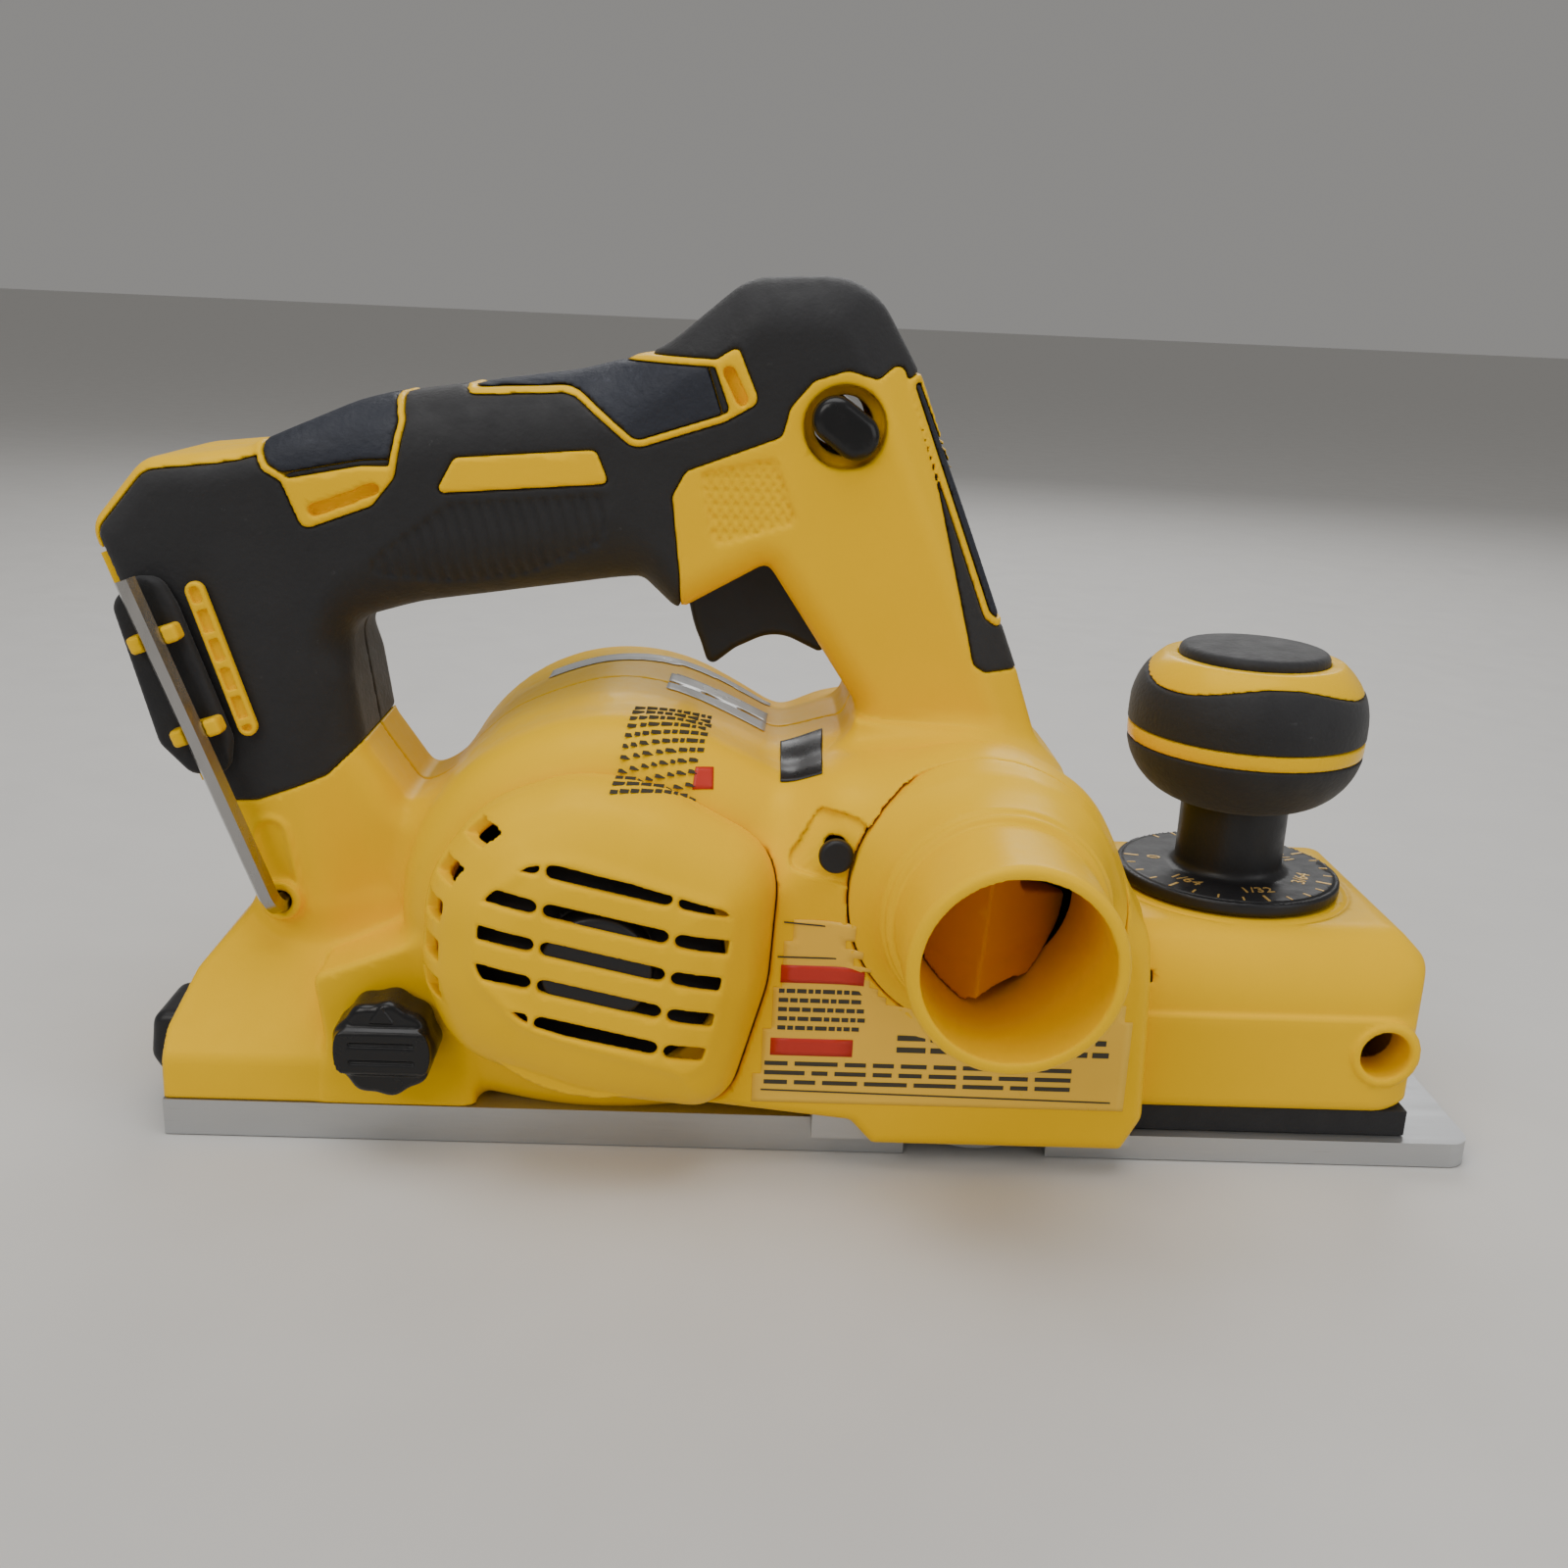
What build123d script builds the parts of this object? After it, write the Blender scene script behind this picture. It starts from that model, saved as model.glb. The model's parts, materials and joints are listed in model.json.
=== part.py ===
"""Cordless electric hand planer, 82 mm wide, modelled piece by piece in millimetres.

+X points forwards (front knob), +Y to the user's left (belt side), +Z up.
The origin is on the underside of the rear shoe, midway along and across the sole.
"""
import math
import os

from build123d import *

# ---------------------------------------------------------------- driving dimensions
SOLE_HALF_WIDTH = 41.0
REAR_END = -146.0
FRONT_END = 146.0
REAR_LIP = 17.0
FRONT_LIP = 49.0
REAR_SHOE_THICKNESS = 8.4
FRONT_SHOE_THICKNESS = 5.8

DRUM_X = 33.0
DRUM_Z = 24.0
DRUM_RADIUS = 22.6
CUTTING_RADIUS = 23.9
DRUM_HALF_LENGTH = 40.5
DRUM_SHAFT_RADIUS = 6.0

MOTOR_X = -50.0
MOTOR_Z = 51.0
STATOR_RADIUS = 26.0
ROTOR_RADIUS = 15.0
MOTOR_SHAFT_RADIUS = 4.0

MOTOR_PULLEY_RADIUS = 9.0
DRUM_PULLEY_RADIUS = 15.0
BELT_LOW_Y = 51.0
BELT_HIGH_Y = 59.0
BELT_THICKNESS = 2.4
BELT_GAP = 0.2

KNOB_X = 95.4
DIAL_RADIUS = 26.0
DIAL_BOTTOM = 52.9
DIAL_TOP = 56.5
NECK_RADIUS = 12.5
BALL_RADIUS = 27.0
BALL_BOTTOM = 73.0
BALL_TOP = 110.8
SPINDLE_RADIUS = 5.0

WALL = 2.6
GRIP_HALF_WIDTH = 21.0
REAR_POST_HALF_WIDTH = 25.0
NARROW_BODY = 40.0
WIDE_BODY = 49.5
RUBBER = 2.2

PORT_X = 30.0
PORT_Z = 64.5
PORT_OUTER_RADIUS = 21.0
PORT_INNER_RADIUS = 18.3
PORT_END_Y = -88.0
# behind the hose seat, the port narrows to the throat that holds the deflector
THROAT_Y = -66.0
THROAT_RADIUS = 17.4

FENCE_X = 122.9
FENCE_Z = 26.8
FENCE_HOLE_RADIUS = 5.5

TRIGGER_PIVOT = (-29.0, 125.0)
TRIGGER_HALF_WIDTH = 8.5
LOCK_OFF = (-3.0, 156.5)

KICKSTAND_PIVOT = (-128.0, 16.0)
KICKSTAND_Y = (-32.5, -13.5)
LOCK_KNOB = (-95.4, 26.7)

RUN_CLEARANCE = 0.05

# screw places: X and Z on the housing, X and Z on the belt cover, X and Y on the sole
HOUSING_SCREWS = (
    (-146, 130), (-119, 62), (-96, 150), (-62, 157), (-32, 167), (18, 132), (-98, 36),
)
BELT_COVER_SCREWS = ((-67, 40), (-64, 66), (46, 50), (53.5, 16))
SOLE_SCREWS = ((-132, 36), (-84, -30), (-84, 36), (-46, -30), (-46, 36), (-12, -30), (-12, 36))

os.makedirs("parts", exist_ok=True)
pieces = []


# ---------------------------------------------------------------- shared building blocks
def side_plane(y):
    """The plane at this Y that faces the tool's right, with X and Z as its axes."""
    return Plane.XZ.offset(-y)


def block(x_span, y_span, z_span, mode=Mode.ADD):
    """Put a box between two corners into the open part."""
    spans = (x_span, y_span, z_span)
    middle = tuple((low + high) / 2 for low, high in spans)
    with Locations(middle):
        Box(*(high - low for low, high in spans), mode=mode)


def rod(x, z, y_span, radius, mode=Mode.ADD):
    """Put a cylinder that lies along Y into the open part."""
    low, high = y_span
    with Locations((x, (low + high) / 2, z)):
        Cylinder(radius, high - low, rotation=(90, 0, 0), mode=mode)


def post(x, y, z_span, radius, mode=Mode.ADD):
    """Put an upright cylinder into the open part."""
    low, high = z_span
    with Locations((x, y, (low + high) / 2)):
        Cylinder(radius, high - low, mode=mode)


def slab(outline, y_span, inset=0.0, mode=Mode.ADD):
    """Extrude an XZ outline between two Y values, shrunk by the inset."""
    low, high = y_span
    with BuildSketch(side_plane(high)) as section:
        outline()
        if inset:
            offset(amount=-inset)
    extrude(section.sketch, amount=high - low, mode=mode)


def keep(builder, label):
    """Name a finished piece and write it."""
    builder.part.label = label
    export_step(builder.part, f"parts/{label}.step")
    pieces.append(label)


# ---------------------------------------------------------------- outlines in X and Z
# corners of the D handle, each with the radius that rounds it
HANDLE_CORNERS = (
    ((-126, 44), 5), ((-138.5, 71), 20), ((-160, 130), 6), ((-148, 144.5), 8),
    ((-128, 147), 20), ((-104, 158), 30), ((-60, 165), 30), ((-42, 170), 25),
    ((-24, 185.5), 12), ((-2, 187), 12), ((11, 170), 15), ((38, 106), 30),
    ((45, 86), 20), ((57, 67), 8), ((57, 50), 3), ((-20, 50), 3), ((-118, 42), 3),
)
FINGER_GAP_CORNERS = (
    ((-86, 71), 5), ((-73, 86), 12), ((-50, 96.5), 20), ((-15, 85), 8), ((3, 90), 3),
    ((2.5, 97), 5), ((-18, 127), 2), ((-37, 116), 3), ((-45, 122.3), 3),
    ((-93, 114.5), 15), ((-109, 110), 6), ((-105, 84), 8), ((-96, 71), 4),
)


def rounded_outline(corners, mode=Mode.ADD):
    """A closed outline through these corners, each rounded by its own radius."""
    points = [point for point, radius in corners]
    radii = [radius for point, radius in corners]
    with BuildLine() as edge:
        FilletPolyline(*points, radius=radii, close=True)
    make_face(edge.edges(), mode=mode)


def handle_outline():
    """The closed D handle: rear post, grip, nose and front post, around the finger gap."""
    rounded_outline(HANDLE_CORNERS)
    rounded_outline(FINGER_GAP_CORNERS, Mode.SUBTRACT)


def rear_post_outline():
    """The thicker rear post that carries the battery rails."""
    with BuildLine() as edge:
        Polyline(
            (-126, 44), (-138.5, 71), (-159.5, 128.8), (-157, 138), (-148, 143),
            (-135, 143), (-121, 100), (-115, 60), (-112, 44), close=True,
        )
    make_face(edge.edges())


def motor_drum_outline():
    """The round of the housing over the motor."""
    with Locations((MOTOR_X, MOTOR_Z)):
        Circle(44.6)
    with Locations((-60, 10)):
        Rectangle(200, 2 * (10 - REAR_SHOE_THICKNESS) + 0.01, mode=Mode.SUBTRACT)
    with Locations((-60, -20)):
        Rectangle(200, 56.8, mode=Mode.SUBTRACT)


def body_outline():
    """The middle of the body, between the motor and the front housing."""
    with BuildLine() as edge:
        Polyline(
            (-86, REAR_SHOE_THICKNESS), (-86, 72), (-48.8, 95.4), (-15, 84.2), (44, 84.2),
            (65.5, 56), (65.5, 12), (-4, 12), (-4, REAR_SHOE_THICKNESS), close=True,
        )
    make_face(edge.edges())


def base_outline():
    """The rear base, from the sole's rear end up to the rear post."""
    with BuildLine() as edge:
        Polyline(
            (-145.9, REAR_SHOE_THICKNESS), (-145.6, 22), (-141, 33.6), (-131, 44.4), (-126, 46.3),
            (-112, 46.3), (-86, 47), (-80, REAR_SHOE_THICKNESS), close=True,
        )
    make_face(edge.edges())


def wide_outline():
    """The wide middle that closes over the ends of the cutter drum."""
    with BuildLine() as edge:
        Polyline(
            (-28, 14), (-28, 62), (-16, 72), (-6, 82), (44, 84), (65.5, 56), (65.5, 6),
            (8, 6), (2, 11), close=True,
        )
    make_face(edge.edges())


def belt_side_outline():
    """The cover outline around both pulleys on the left."""
    with Locations((MOTOR_X, MOTOR_Z)):
        Circle(28)
    with Locations((DRUM_X, DRUM_Z + 6)):
        Circle(31)
    make_hull()
    with Locations((0, -10)):
        Rectangle(300, 26, mode=Mode.SUBTRACT)


# ---------------------------------------------------------------- sole
# the cheeks beside the drum hold its bearings
CHEEK_INNER = 42.0
CHEEK_OUTER = 46.6
# guide posts and return springs of the front shoe
SPRING_X = 115.0
SOLE_SPRING_Y = 17.0

with BuildPart() as rear_shoe:
    block((REAR_END, REAR_LIP), (-SOLE_HALF_WIDTH, SOLE_HALF_WIDTH), (0, REAR_SHOE_THICKNESS))
    block((-4, 2), (-CHEEK_OUTER, CHEEK_OUTER), (REAR_SHOE_THICKNESS - 2, 44))
    for side in (-1, 1):
        cheek = sorted((side * CHEEK_INNER, side * CHEEK_OUTER))
        block((-4, 66), cheek, (REAR_SHOE_THICKNESS - 2, 40))
        rod(DRUM_X, DRUM_Z, cheek, 17.5)
    block((62, 66), (-CHEEK_OUTER, CHEEK_OUTER), (14, 40))
    block((62, 120), (-24, 24), (30, 36))
    post(KNOB_X, 0, (25, 49), 11)
    post(KNOB_X, 0, (20, 60), SPINDLE_RADIUS + RUN_CLEARANCE, Mode.SUBTRACT)
    rod(DRUM_X, DRUM_Z, (-41.5, 41.5), CUTTING_RADIUS + 1.0, Mode.SUBTRACT)
    rod(DRUM_X, DRUM_Z, (-60, 60), 11, Mode.SUBTRACT)
    for y in (-SOLE_SPRING_Y, SOLE_SPRING_Y):
        post(SPRING_X, y, (20, 60), 4 + RUN_CLEARANCE, Mode.SUBTRACT)
    # slot at the rear end that the kickstand drops through
    block((REAR_END - 1, -124), (-34, -12), (-1, 12), Mode.SUBTRACT)
    # shallow pockets that lighten the casting
    for x in (-104, -66, -28):
        block((x - 15, x + 15), (-10, 30), (4.4, REAR_SHOE_THICKNESS + 1), Mode.SUBTRACT)
    for x, y in SOLE_SCREWS:
        post(x, y, (-1, 5), 3.6, Mode.SUBTRACT)
        post(x, y, (4, 12), 2.1, Mode.SUBTRACT)
    # lug for the inner end of the kickstand pin
    block((-132, -124), (-11.8, -7), (REAR_SHOE_THICKNESS - 2, 20))
    rod(*KICKSTAND_PIVOT, (-14, -6), 2.0, Mode.SUBTRACT)
keep(rear_shoe, "rear_shoe")

with BuildPart() as front_shoe:
    block((FRONT_LIP, FRONT_END), (-SOLE_HALF_WIDTH, SOLE_HALF_WIDTH), (0, FRONT_SHOE_THICKNESS))
    fillet(front_shoe.edges().filter_by(Axis.Z).group_by(Axis.X)[-1], 5)
    rod(DRUM_X, DRUM_Z, (-60, 60), CUTTING_RADIUS + 1.0, Mode.SUBTRACT)
    post(KNOB_X, 0, (FRONT_SHOE_THICKNESS - 1, 20), 13)
    post(KNOB_X, 0, (8, 30), 8.5, Mode.SUBTRACT)
    for y in (-SOLE_SPRING_Y, SOLE_SPRING_Y):
        post(SPRING_X, y, (FRONT_SHOE_THICKNESS - 1, 42), 4)
    # bevelling grooves along the underside, the deepest in the middle
    for y, depth in ((-20, 1.6), (0, 3.0), (20, 1.6)):
        with BuildSketch(Plane.YZ.offset(FRONT_LIP - 1)):
            with BuildLine():
                Polyline((y - depth, 0), (y, depth), (y + depth, 0), close=True)
            make_face()
        extrude(amount=FRONT_END - FRONT_LIP + 2, mode=Mode.SUBTRACT)
keep(front_shoe, "front_shoe")

with BuildPart() as shoe_nut:
    post(KNOB_X, 0, (8, 20), 8.5)
    post(KNOB_X, 0, (7, 21), SPINDLE_RADIUS + RUN_CLEARANCE, Mode.SUBTRACT)
keep(shoe_nut, "shoe_nut")

with BuildPart() as shoe_springs:
    with BuildLine() as coil:
        Helix(pitch=4.4, height=22.4, radius=5.6, center=(SPRING_X, SOLE_SPRING_Y, 6.7))
    with BuildSketch(Plane(origin=coil.line @ 0, z_dir=coil.line % 0)):
        Circle(0.7)
    sweep()
    mirror(about=Plane.XZ)
keep(shoe_springs, "shoe_springs")

# ---------------------------------------------------------------- cutter drum
BLADE_SLOT_DEPTH = 11.0
BLADE_THICKNESS = 1.2

with BuildPart() as cutter_drum:
    rod(DRUM_X, DRUM_Z, (-DRUM_HALF_LENGTH, DRUM_HALF_LENGTH), DRUM_RADIUS)
    rod(DRUM_X, DRUM_Z, (-46.8, 60.5), DRUM_SHAFT_RADIUS)
    for side in (-1, 1):
        slot = sorted((DRUM_X + side * (DRUM_RADIUS - BLADE_SLOT_DEPTH), DRUM_X + side * 30))
        height = sorted((DRUM_Z - side * 5, DRUM_Z + side * 3))
        block(slot, (-41, 41), height, Mode.SUBTRACT)
keep(cutter_drum, "cutter_drum")

with BuildPart() as cutter_blades:
    for side in (-1, 1):
        reach = sorted((DRUM_X + side * (CUTTING_RADIUS - 5.5), DRUM_X + side * CUTTING_RADIUS))
        height = sorted((DRUM_Z + side * (3 - BLADE_THICKNESS), DRUM_Z + side * 3))
        block(reach, (-DRUM_HALF_LENGTH, DRUM_HALF_LENGTH), height)
keep(cutter_blades, "cutter_blades")

with BuildPart() as blade_clamps:
    for side in (-1, 1):
        reach = sorted((DRUM_X + side * (DRUM_RADIUS - BLADE_SLOT_DEPTH), DRUM_X + side * 21.8))
        height = sorted((DRUM_Z - side * 4.6, DRUM_Z + side * (3 - BLADE_THICKNESS)))
        block(reach, (-DRUM_HALF_LENGTH + 0.3, DRUM_HALF_LENGTH - 0.3), height)
        for y in (-27, 0, 27):
            with Locations((DRUM_X + side * 21, y, DRUM_Z - side * 1.4)):
                Cylinder(2.5, 8, rotation=(0, 90, 0), mode=Mode.SUBTRACT)
keep(blade_clamps, "blade_clamps")

with BuildPart() as blade_clamp_screws:
    for side in (-1, 1):
        for y in (-27, 0, 27):
            with Locations((DRUM_X + side * 19.2, y, DRUM_Z - side * 1.4)):
                Cylinder(2.5, 4.4, rotation=(0, 90, 0))
            with Locations((DRUM_X + side * 21.2, y, DRUM_Z - side * 1.4)):
                Cylinder(1.2, 2.0, rotation=(0, 90, 0), mode=Mode.SUBTRACT)
keep(blade_clamp_screws, "blade_clamp_screws")

with BuildPart() as drum_bearings:
    for span in ((-46.6, -42.0), (42.0, 46.6)):
        rod(DRUM_X, DRUM_Z, span, 11)
        rod(DRUM_X, DRUM_Z, span, DRUM_SHAFT_RADIUS + RUN_CLEARANCE, Mode.SUBTRACT)
keep(drum_bearings, "drum_bearings")


def ribbed_pulley(x, z, radius, bore):
    """A flanged pulley with five grooves around it, in the open part."""
    rod(x, z, (BELT_LOW_Y, BELT_HIGH_Y), radius)
    rod(x, z, (BELT_LOW_Y - 0.8, BELT_LOW_Y), radius + 2.0)
    for step in range(5):
        middle = BELT_LOW_Y + 0.8 + step * 1.6
        with BuildSketch(Plane((x, 0, z), x_dir=(1, 0, 0), z_dir=(0, 0, 1))) as groove:
            with BuildLine():
                Polyline(
                    (radius - 0.7, middle), (radius, middle - 0.5),
                    (radius, middle + 0.5), close=True,
                )
            make_face()
        revolve(groove.sketch, axis=Axis((x, 0, z), (0, 1, 0)), mode=Mode.SUBTRACT)
    rod(x, z, (BELT_LOW_Y - 2, BELT_HIGH_Y + 2), bore, Mode.SUBTRACT)


with BuildPart() as drum_pulley:
    ribbed_pulley(DRUM_X, DRUM_Z, DRUM_PULLEY_RADIUS, DRUM_SHAFT_RADIUS)
    with BuildSketch(side_plane(BELT_HIGH_Y)):
        with Locations((DRUM_X, DRUM_Z)):
            with PolarLocations(12, 5):
                Circle(2.6)
    extrude(amount=BELT_HIGH_Y - BELT_LOW_Y + 1, mode=Mode.SUBTRACT)
keep(drum_pulley, "drum_pulley")

with BuildPart() as drum_pulley_nut:
    with BuildSketch(side_plane(62.2)):
        with Locations((DRUM_X, DRUM_Z)):
            RegularPolygon(9, 6)
    extrude(amount=3.2)
    rod(DRUM_X, DRUM_Z, (58, 60.5), DRUM_SHAFT_RADIUS, Mode.SUBTRACT)
keep(drum_pulley_nut, "drum_pulley_nut")

# ---------------------------------------------------------------- motor and belt
with BuildPart() as motor_pulley:
    ribbed_pulley(MOTOR_X, MOTOR_Z, MOTOR_PULLEY_RADIUS, MOTOR_SHAFT_RADIUS)
keep(motor_pulley, "motor_pulley")

with BuildPart() as drive_belt:
    for grow, mode in ((BELT_GAP + BELT_THICKNESS, Mode.ADD), (BELT_GAP, Mode.SUBTRACT)):
        with BuildSketch(side_plane(BELT_HIGH_Y - 0.3)) as loop:
            with Locations((MOTOR_X, MOTOR_Z)):
                Circle(MOTOR_PULLEY_RADIUS + grow)
            with Locations((DRUM_X, DRUM_Z)):
                Circle(DRUM_PULLEY_RADIUS + grow)
            make_hull()
        extrude(loop.sketch, amount=BELT_HIGH_Y - BELT_LOW_Y - 0.6, mode=mode)
keep(drive_belt, "drive_belt")

with BuildPart() as motor_shaft:
    rod(MOTOR_X, MOTOR_Z, (-60.5, 60.5), MOTOR_SHAFT_RADIUS)
keep(motor_shaft, "motor_shaft")

with BuildPart() as motor_rotor:
    rod(MOTOR_X, MOTOR_Z, (-53, -31), ROTOR_RADIUS)
    rod(MOTOR_X, MOTOR_Z, (-54, -30), MOTOR_SHAFT_RADIUS, Mode.SUBTRACT)
keep(motor_rotor, "motor_rotor")

COIL_COUNT = 6
with BuildPart() as motor_stator:
    rod(MOTOR_X, MOTOR_Z, (-53, -31), STATOR_RADIUS)
    rod(MOTOR_X, MOTOR_Z, (-54, -30), ROTOR_RADIUS + 0.6, Mode.SUBTRACT)
    with BuildSketch(side_plane(-30)):
        with Locations((MOTOR_X, MOTOR_Z)):
            with PolarLocations(18, COIL_COUNT):
                Rectangle(9, 7)
    extrude(amount=24, mode=Mode.SUBTRACT)
keep(motor_stator, "motor_stator")

with BuildPart() as stator_coils:
    with BuildSketch(side_plane(-28.5)):
        with Locations((MOTOR_X, MOTOR_Z)):
            with PolarLocations(19.6, COIL_COUNT):
                RectangleRounded(5.6, 6.8, 1)
    extrude(amount=27)
keep(stator_coils, "stator_coils")

with BuildPart() as motor_fan:
    rod(MOTOR_X, MOTOR_Z, (-24, -12), 7)
    rod(MOTOR_X, MOTOR_Z, (-24, -22.4), 24)
    with BuildSketch(side_plane(-12)):
        with Locations((MOTOR_X, MOTOR_Z)):
            with PolarLocations(15, 11):
                Rectangle(17, 1.4, rotation=18)
    extrude(amount=11)
    rod(MOTOR_X, MOTOR_Z, (-30, -6), MOTOR_SHAFT_RADIUS, Mode.SUBTRACT)
keep(motor_fan, "motor_fan")

with BuildPart() as motor_bearings:
    for span in ((-60.5, -56.5), (42.4, 47.4)):
        rod(MOTOR_X, MOTOR_Z, span, 9)
        rod(MOTOR_X, MOTOR_Z, span, MOTOR_SHAFT_RADIUS + RUN_CLEARANCE, Mode.SUBTRACT)
keep(motor_bearings, "motor_bearings")

# ---------------------------------------------------------------- housing shells
# the battery slides along this inclined plane on the rear post
RAIL_TILT = math.radians(20)
rail_plane = Plane(
    origin=(-149, 0, 100), x_dir=(0, 1, 0), z_dir=(-math.cos(RAIL_TILT), 0, -math.sin(RAIL_TILT)),
)
RAIL_LENGTH = 52.0
RAIL_OUTER = REAR_POST_HALF_WIDTH - WALL
RAIL_INNER = RAIL_OUTER - 3.2

def housing_half(side):
    """One half of the yellow clamshell; side -1 is the right half, +1 the left."""
    def span(near, far):
        return tuple(sorted((side * near, side * far)))

    body_width = NARROW_BODY if side < 0 else WIDE_BODY
    slab(handle_outline, span(0, GRIP_HALF_WIDTH - RUBBER))
    slab(rear_post_outline, span(0, REAR_POST_HALF_WIDTH))
    slab(motor_drum_outline, span(0, body_width))
    slab(body_outline, span(0, NARROW_BODY))
    slab(base_outline, span(0, SOLE_HALF_WIDTH))
    slab(wide_outline, span(0, WIDE_BODY))
    # the hollow inside
    slab(handle_outline, span(0, GRIP_HALF_WIDTH - RUBBER - WALL), WALL, Mode.SUBTRACT)
    slab(rear_post_outline, span(0, REAR_POST_HALF_WIDTH - WALL), WALL, Mode.SUBTRACT)
    slab(motor_drum_outline, span(0, body_width - WALL), WALL, Mode.SUBTRACT)
    slab(body_outline, span(0, NARROW_BODY - WALL), WALL, Mode.SUBTRACT)
    slab(base_outline, span(0, SOLE_HALF_WIDTH - WALL), WALL, Mode.SUBTRACT)
    slab(wide_outline, span(0, WIDE_BODY - WALL), WALL, Mode.SUBTRACT)
    # open underside around the drum, its cheeks and the cross wall
    block((-4.2, 66), span(0, 47.2), (-1, 46), Mode.SUBTRACT)
    block((55, 66), span(0, 47.2), (0, 44.5), Mode.SUBTRACT)
    # opening in the rear wall that the battery rails and terminals sit in
    with BuildSketch(rail_plane.offset(-4)) as opening:
        Rectangle(2 * RAIL_OUTER, RAIL_LENGTH + 2)
    extrude(opening.sketch, amount=8, mode=Mode.SUBTRACT)
    # trigger channel with bosses for the trigger pin
    block((-39, 2), span(0, TRIGGER_HALF_WIDTH + 0.8), (96, 133.5), Mode.SUBTRACT)
    pivot_x, pivot_z = TRIGGER_PIVOT
    rod(pivot_x, pivot_z, span(TRIGGER_HALF_WIDTH + 0.8, GRIP_HALF_WIDTH - RUBBER - WALL), 4.5)
    rod(pivot_x, pivot_z, span(0, 14.5), 2.0, Mode.SUBTRACT)
    for x, z in HOUSING_SCREWS:
        rod(x, z, span(0, 16.5), 3.6)
        rod(x, z, span(0, 13), 1.8, Mode.SUBTRACT)


with BuildPart() as housing_right:
    housing_half(-1)
    rod(MOTOR_X, MOTOR_Z, (-50, -NARROW_BODY), 35, Mode.SUBTRACT)
    rod(MOTOR_X, MOTOR_Z, (-41, -26), 31, Mode.SUBTRACT)
    rod(*LOCK_KNOB, (-42, -37), 4 + RUN_CLEARANCE, Mode.SUBTRACT)
    block((-149, -122), (-33.5, -12.5), (8, 26.5), Mode.SUBTRACT)
    block((-133, -123), (-12.6, -6.5), (8, 12), Mode.SUBTRACT)
    rod(*KICKSTAND_PIVOT, (-39, -34.5), 4.0)
    rod(*KICKSTAND_PIVOT, (-37, -33), 2.0, Mode.SUBTRACT)
    rod(PORT_X, PORT_Z, (-52, -36), 17, Mode.SUBTRACT)
    rod(*LOCK_OFF, (-24, -12), 6.3, Mode.SUBTRACT)
    rod(-122.4, 50.0, (-26, -10), 2.8, Mode.SUBTRACT)
keep(housing_right, "housing_right")

with BuildPart() as housing_left:
    housing_half(1)
    rod(DRUM_X, DRUM_Z, (44, 52), 17.8, Mode.SUBTRACT)
    rod(MOTOR_X, MOTOR_Z, (41, WIDE_BODY), 12)
    rod(MOTOR_X, MOTOR_Z, (40, 47.4), 9, Mode.SUBTRACT)
    rod(MOTOR_X, MOTOR_Z, (40, 52), 5, Mode.SUBTRACT)
    rod(*LOCK_OFF, (12, 24), 6.3, Mode.SUBTRACT)
    for x, z in HOUSING_SCREWS:
        rod(x, z, (0, 16), 1.8, Mode.SUBTRACT)
        rod(x, z, (13.5, 42), 3.5, Mode.SUBTRACT)
    for x, z in BELT_COVER_SCREWS:
        rod(x, z, (44, 50), 1.7, Mode.SUBTRACT)
keep(housing_left, "housing_left")


# ---------------------------------------------------------------- rubber on the handle
def rubber_outline():
    """The rubber field: rear post, grip and nose, down to the front strip."""
    handle_outline()
    with BuildLine() as edge:
        Polyline(
            (-170, 80), (-142, 73), (-127, 71), (-112, 77), (-100, 88), (-60, 112),
            (-48, 123), (-39, 124), (-37, 146), (-16, 155), (-12, 168), (4, 168),
            (9, 160), (31, 108), (40, 108), (12, 200), (-170, 200), close=True,
        )
    make_face(edge.edges(), mode=Mode.INTERSECT)


def grip_rubber(side):
    """The rubber skin over one side of the handle."""
    inner = side * (GRIP_HALF_WIDTH - RUBBER)
    outer = side * GRIP_HALF_WIDTH
    slab(rubber_outline, tuple(sorted((inner, outer))))
    slab(rear_post_outline, (-40, 40), 0, Mode.SUBTRACT)


with BuildPart() as grip_rubber_right:
    grip_rubber(-1)
keep(grip_rubber_right, "grip_rubber_right")

with BuildPart() as grip_rubber_left:
    grip_rubber(1)
    for x, z in HOUSING_SCREWS:
        rod(x, z, (10, 30), 3.5, Mode.SUBTRACT)
keep(grip_rubber_left, "grip_rubber_left")

# ---------------------------------------------------------------- covers on the body
COVER_END_Y = -64.0
VENT_ROWS = 6

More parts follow.
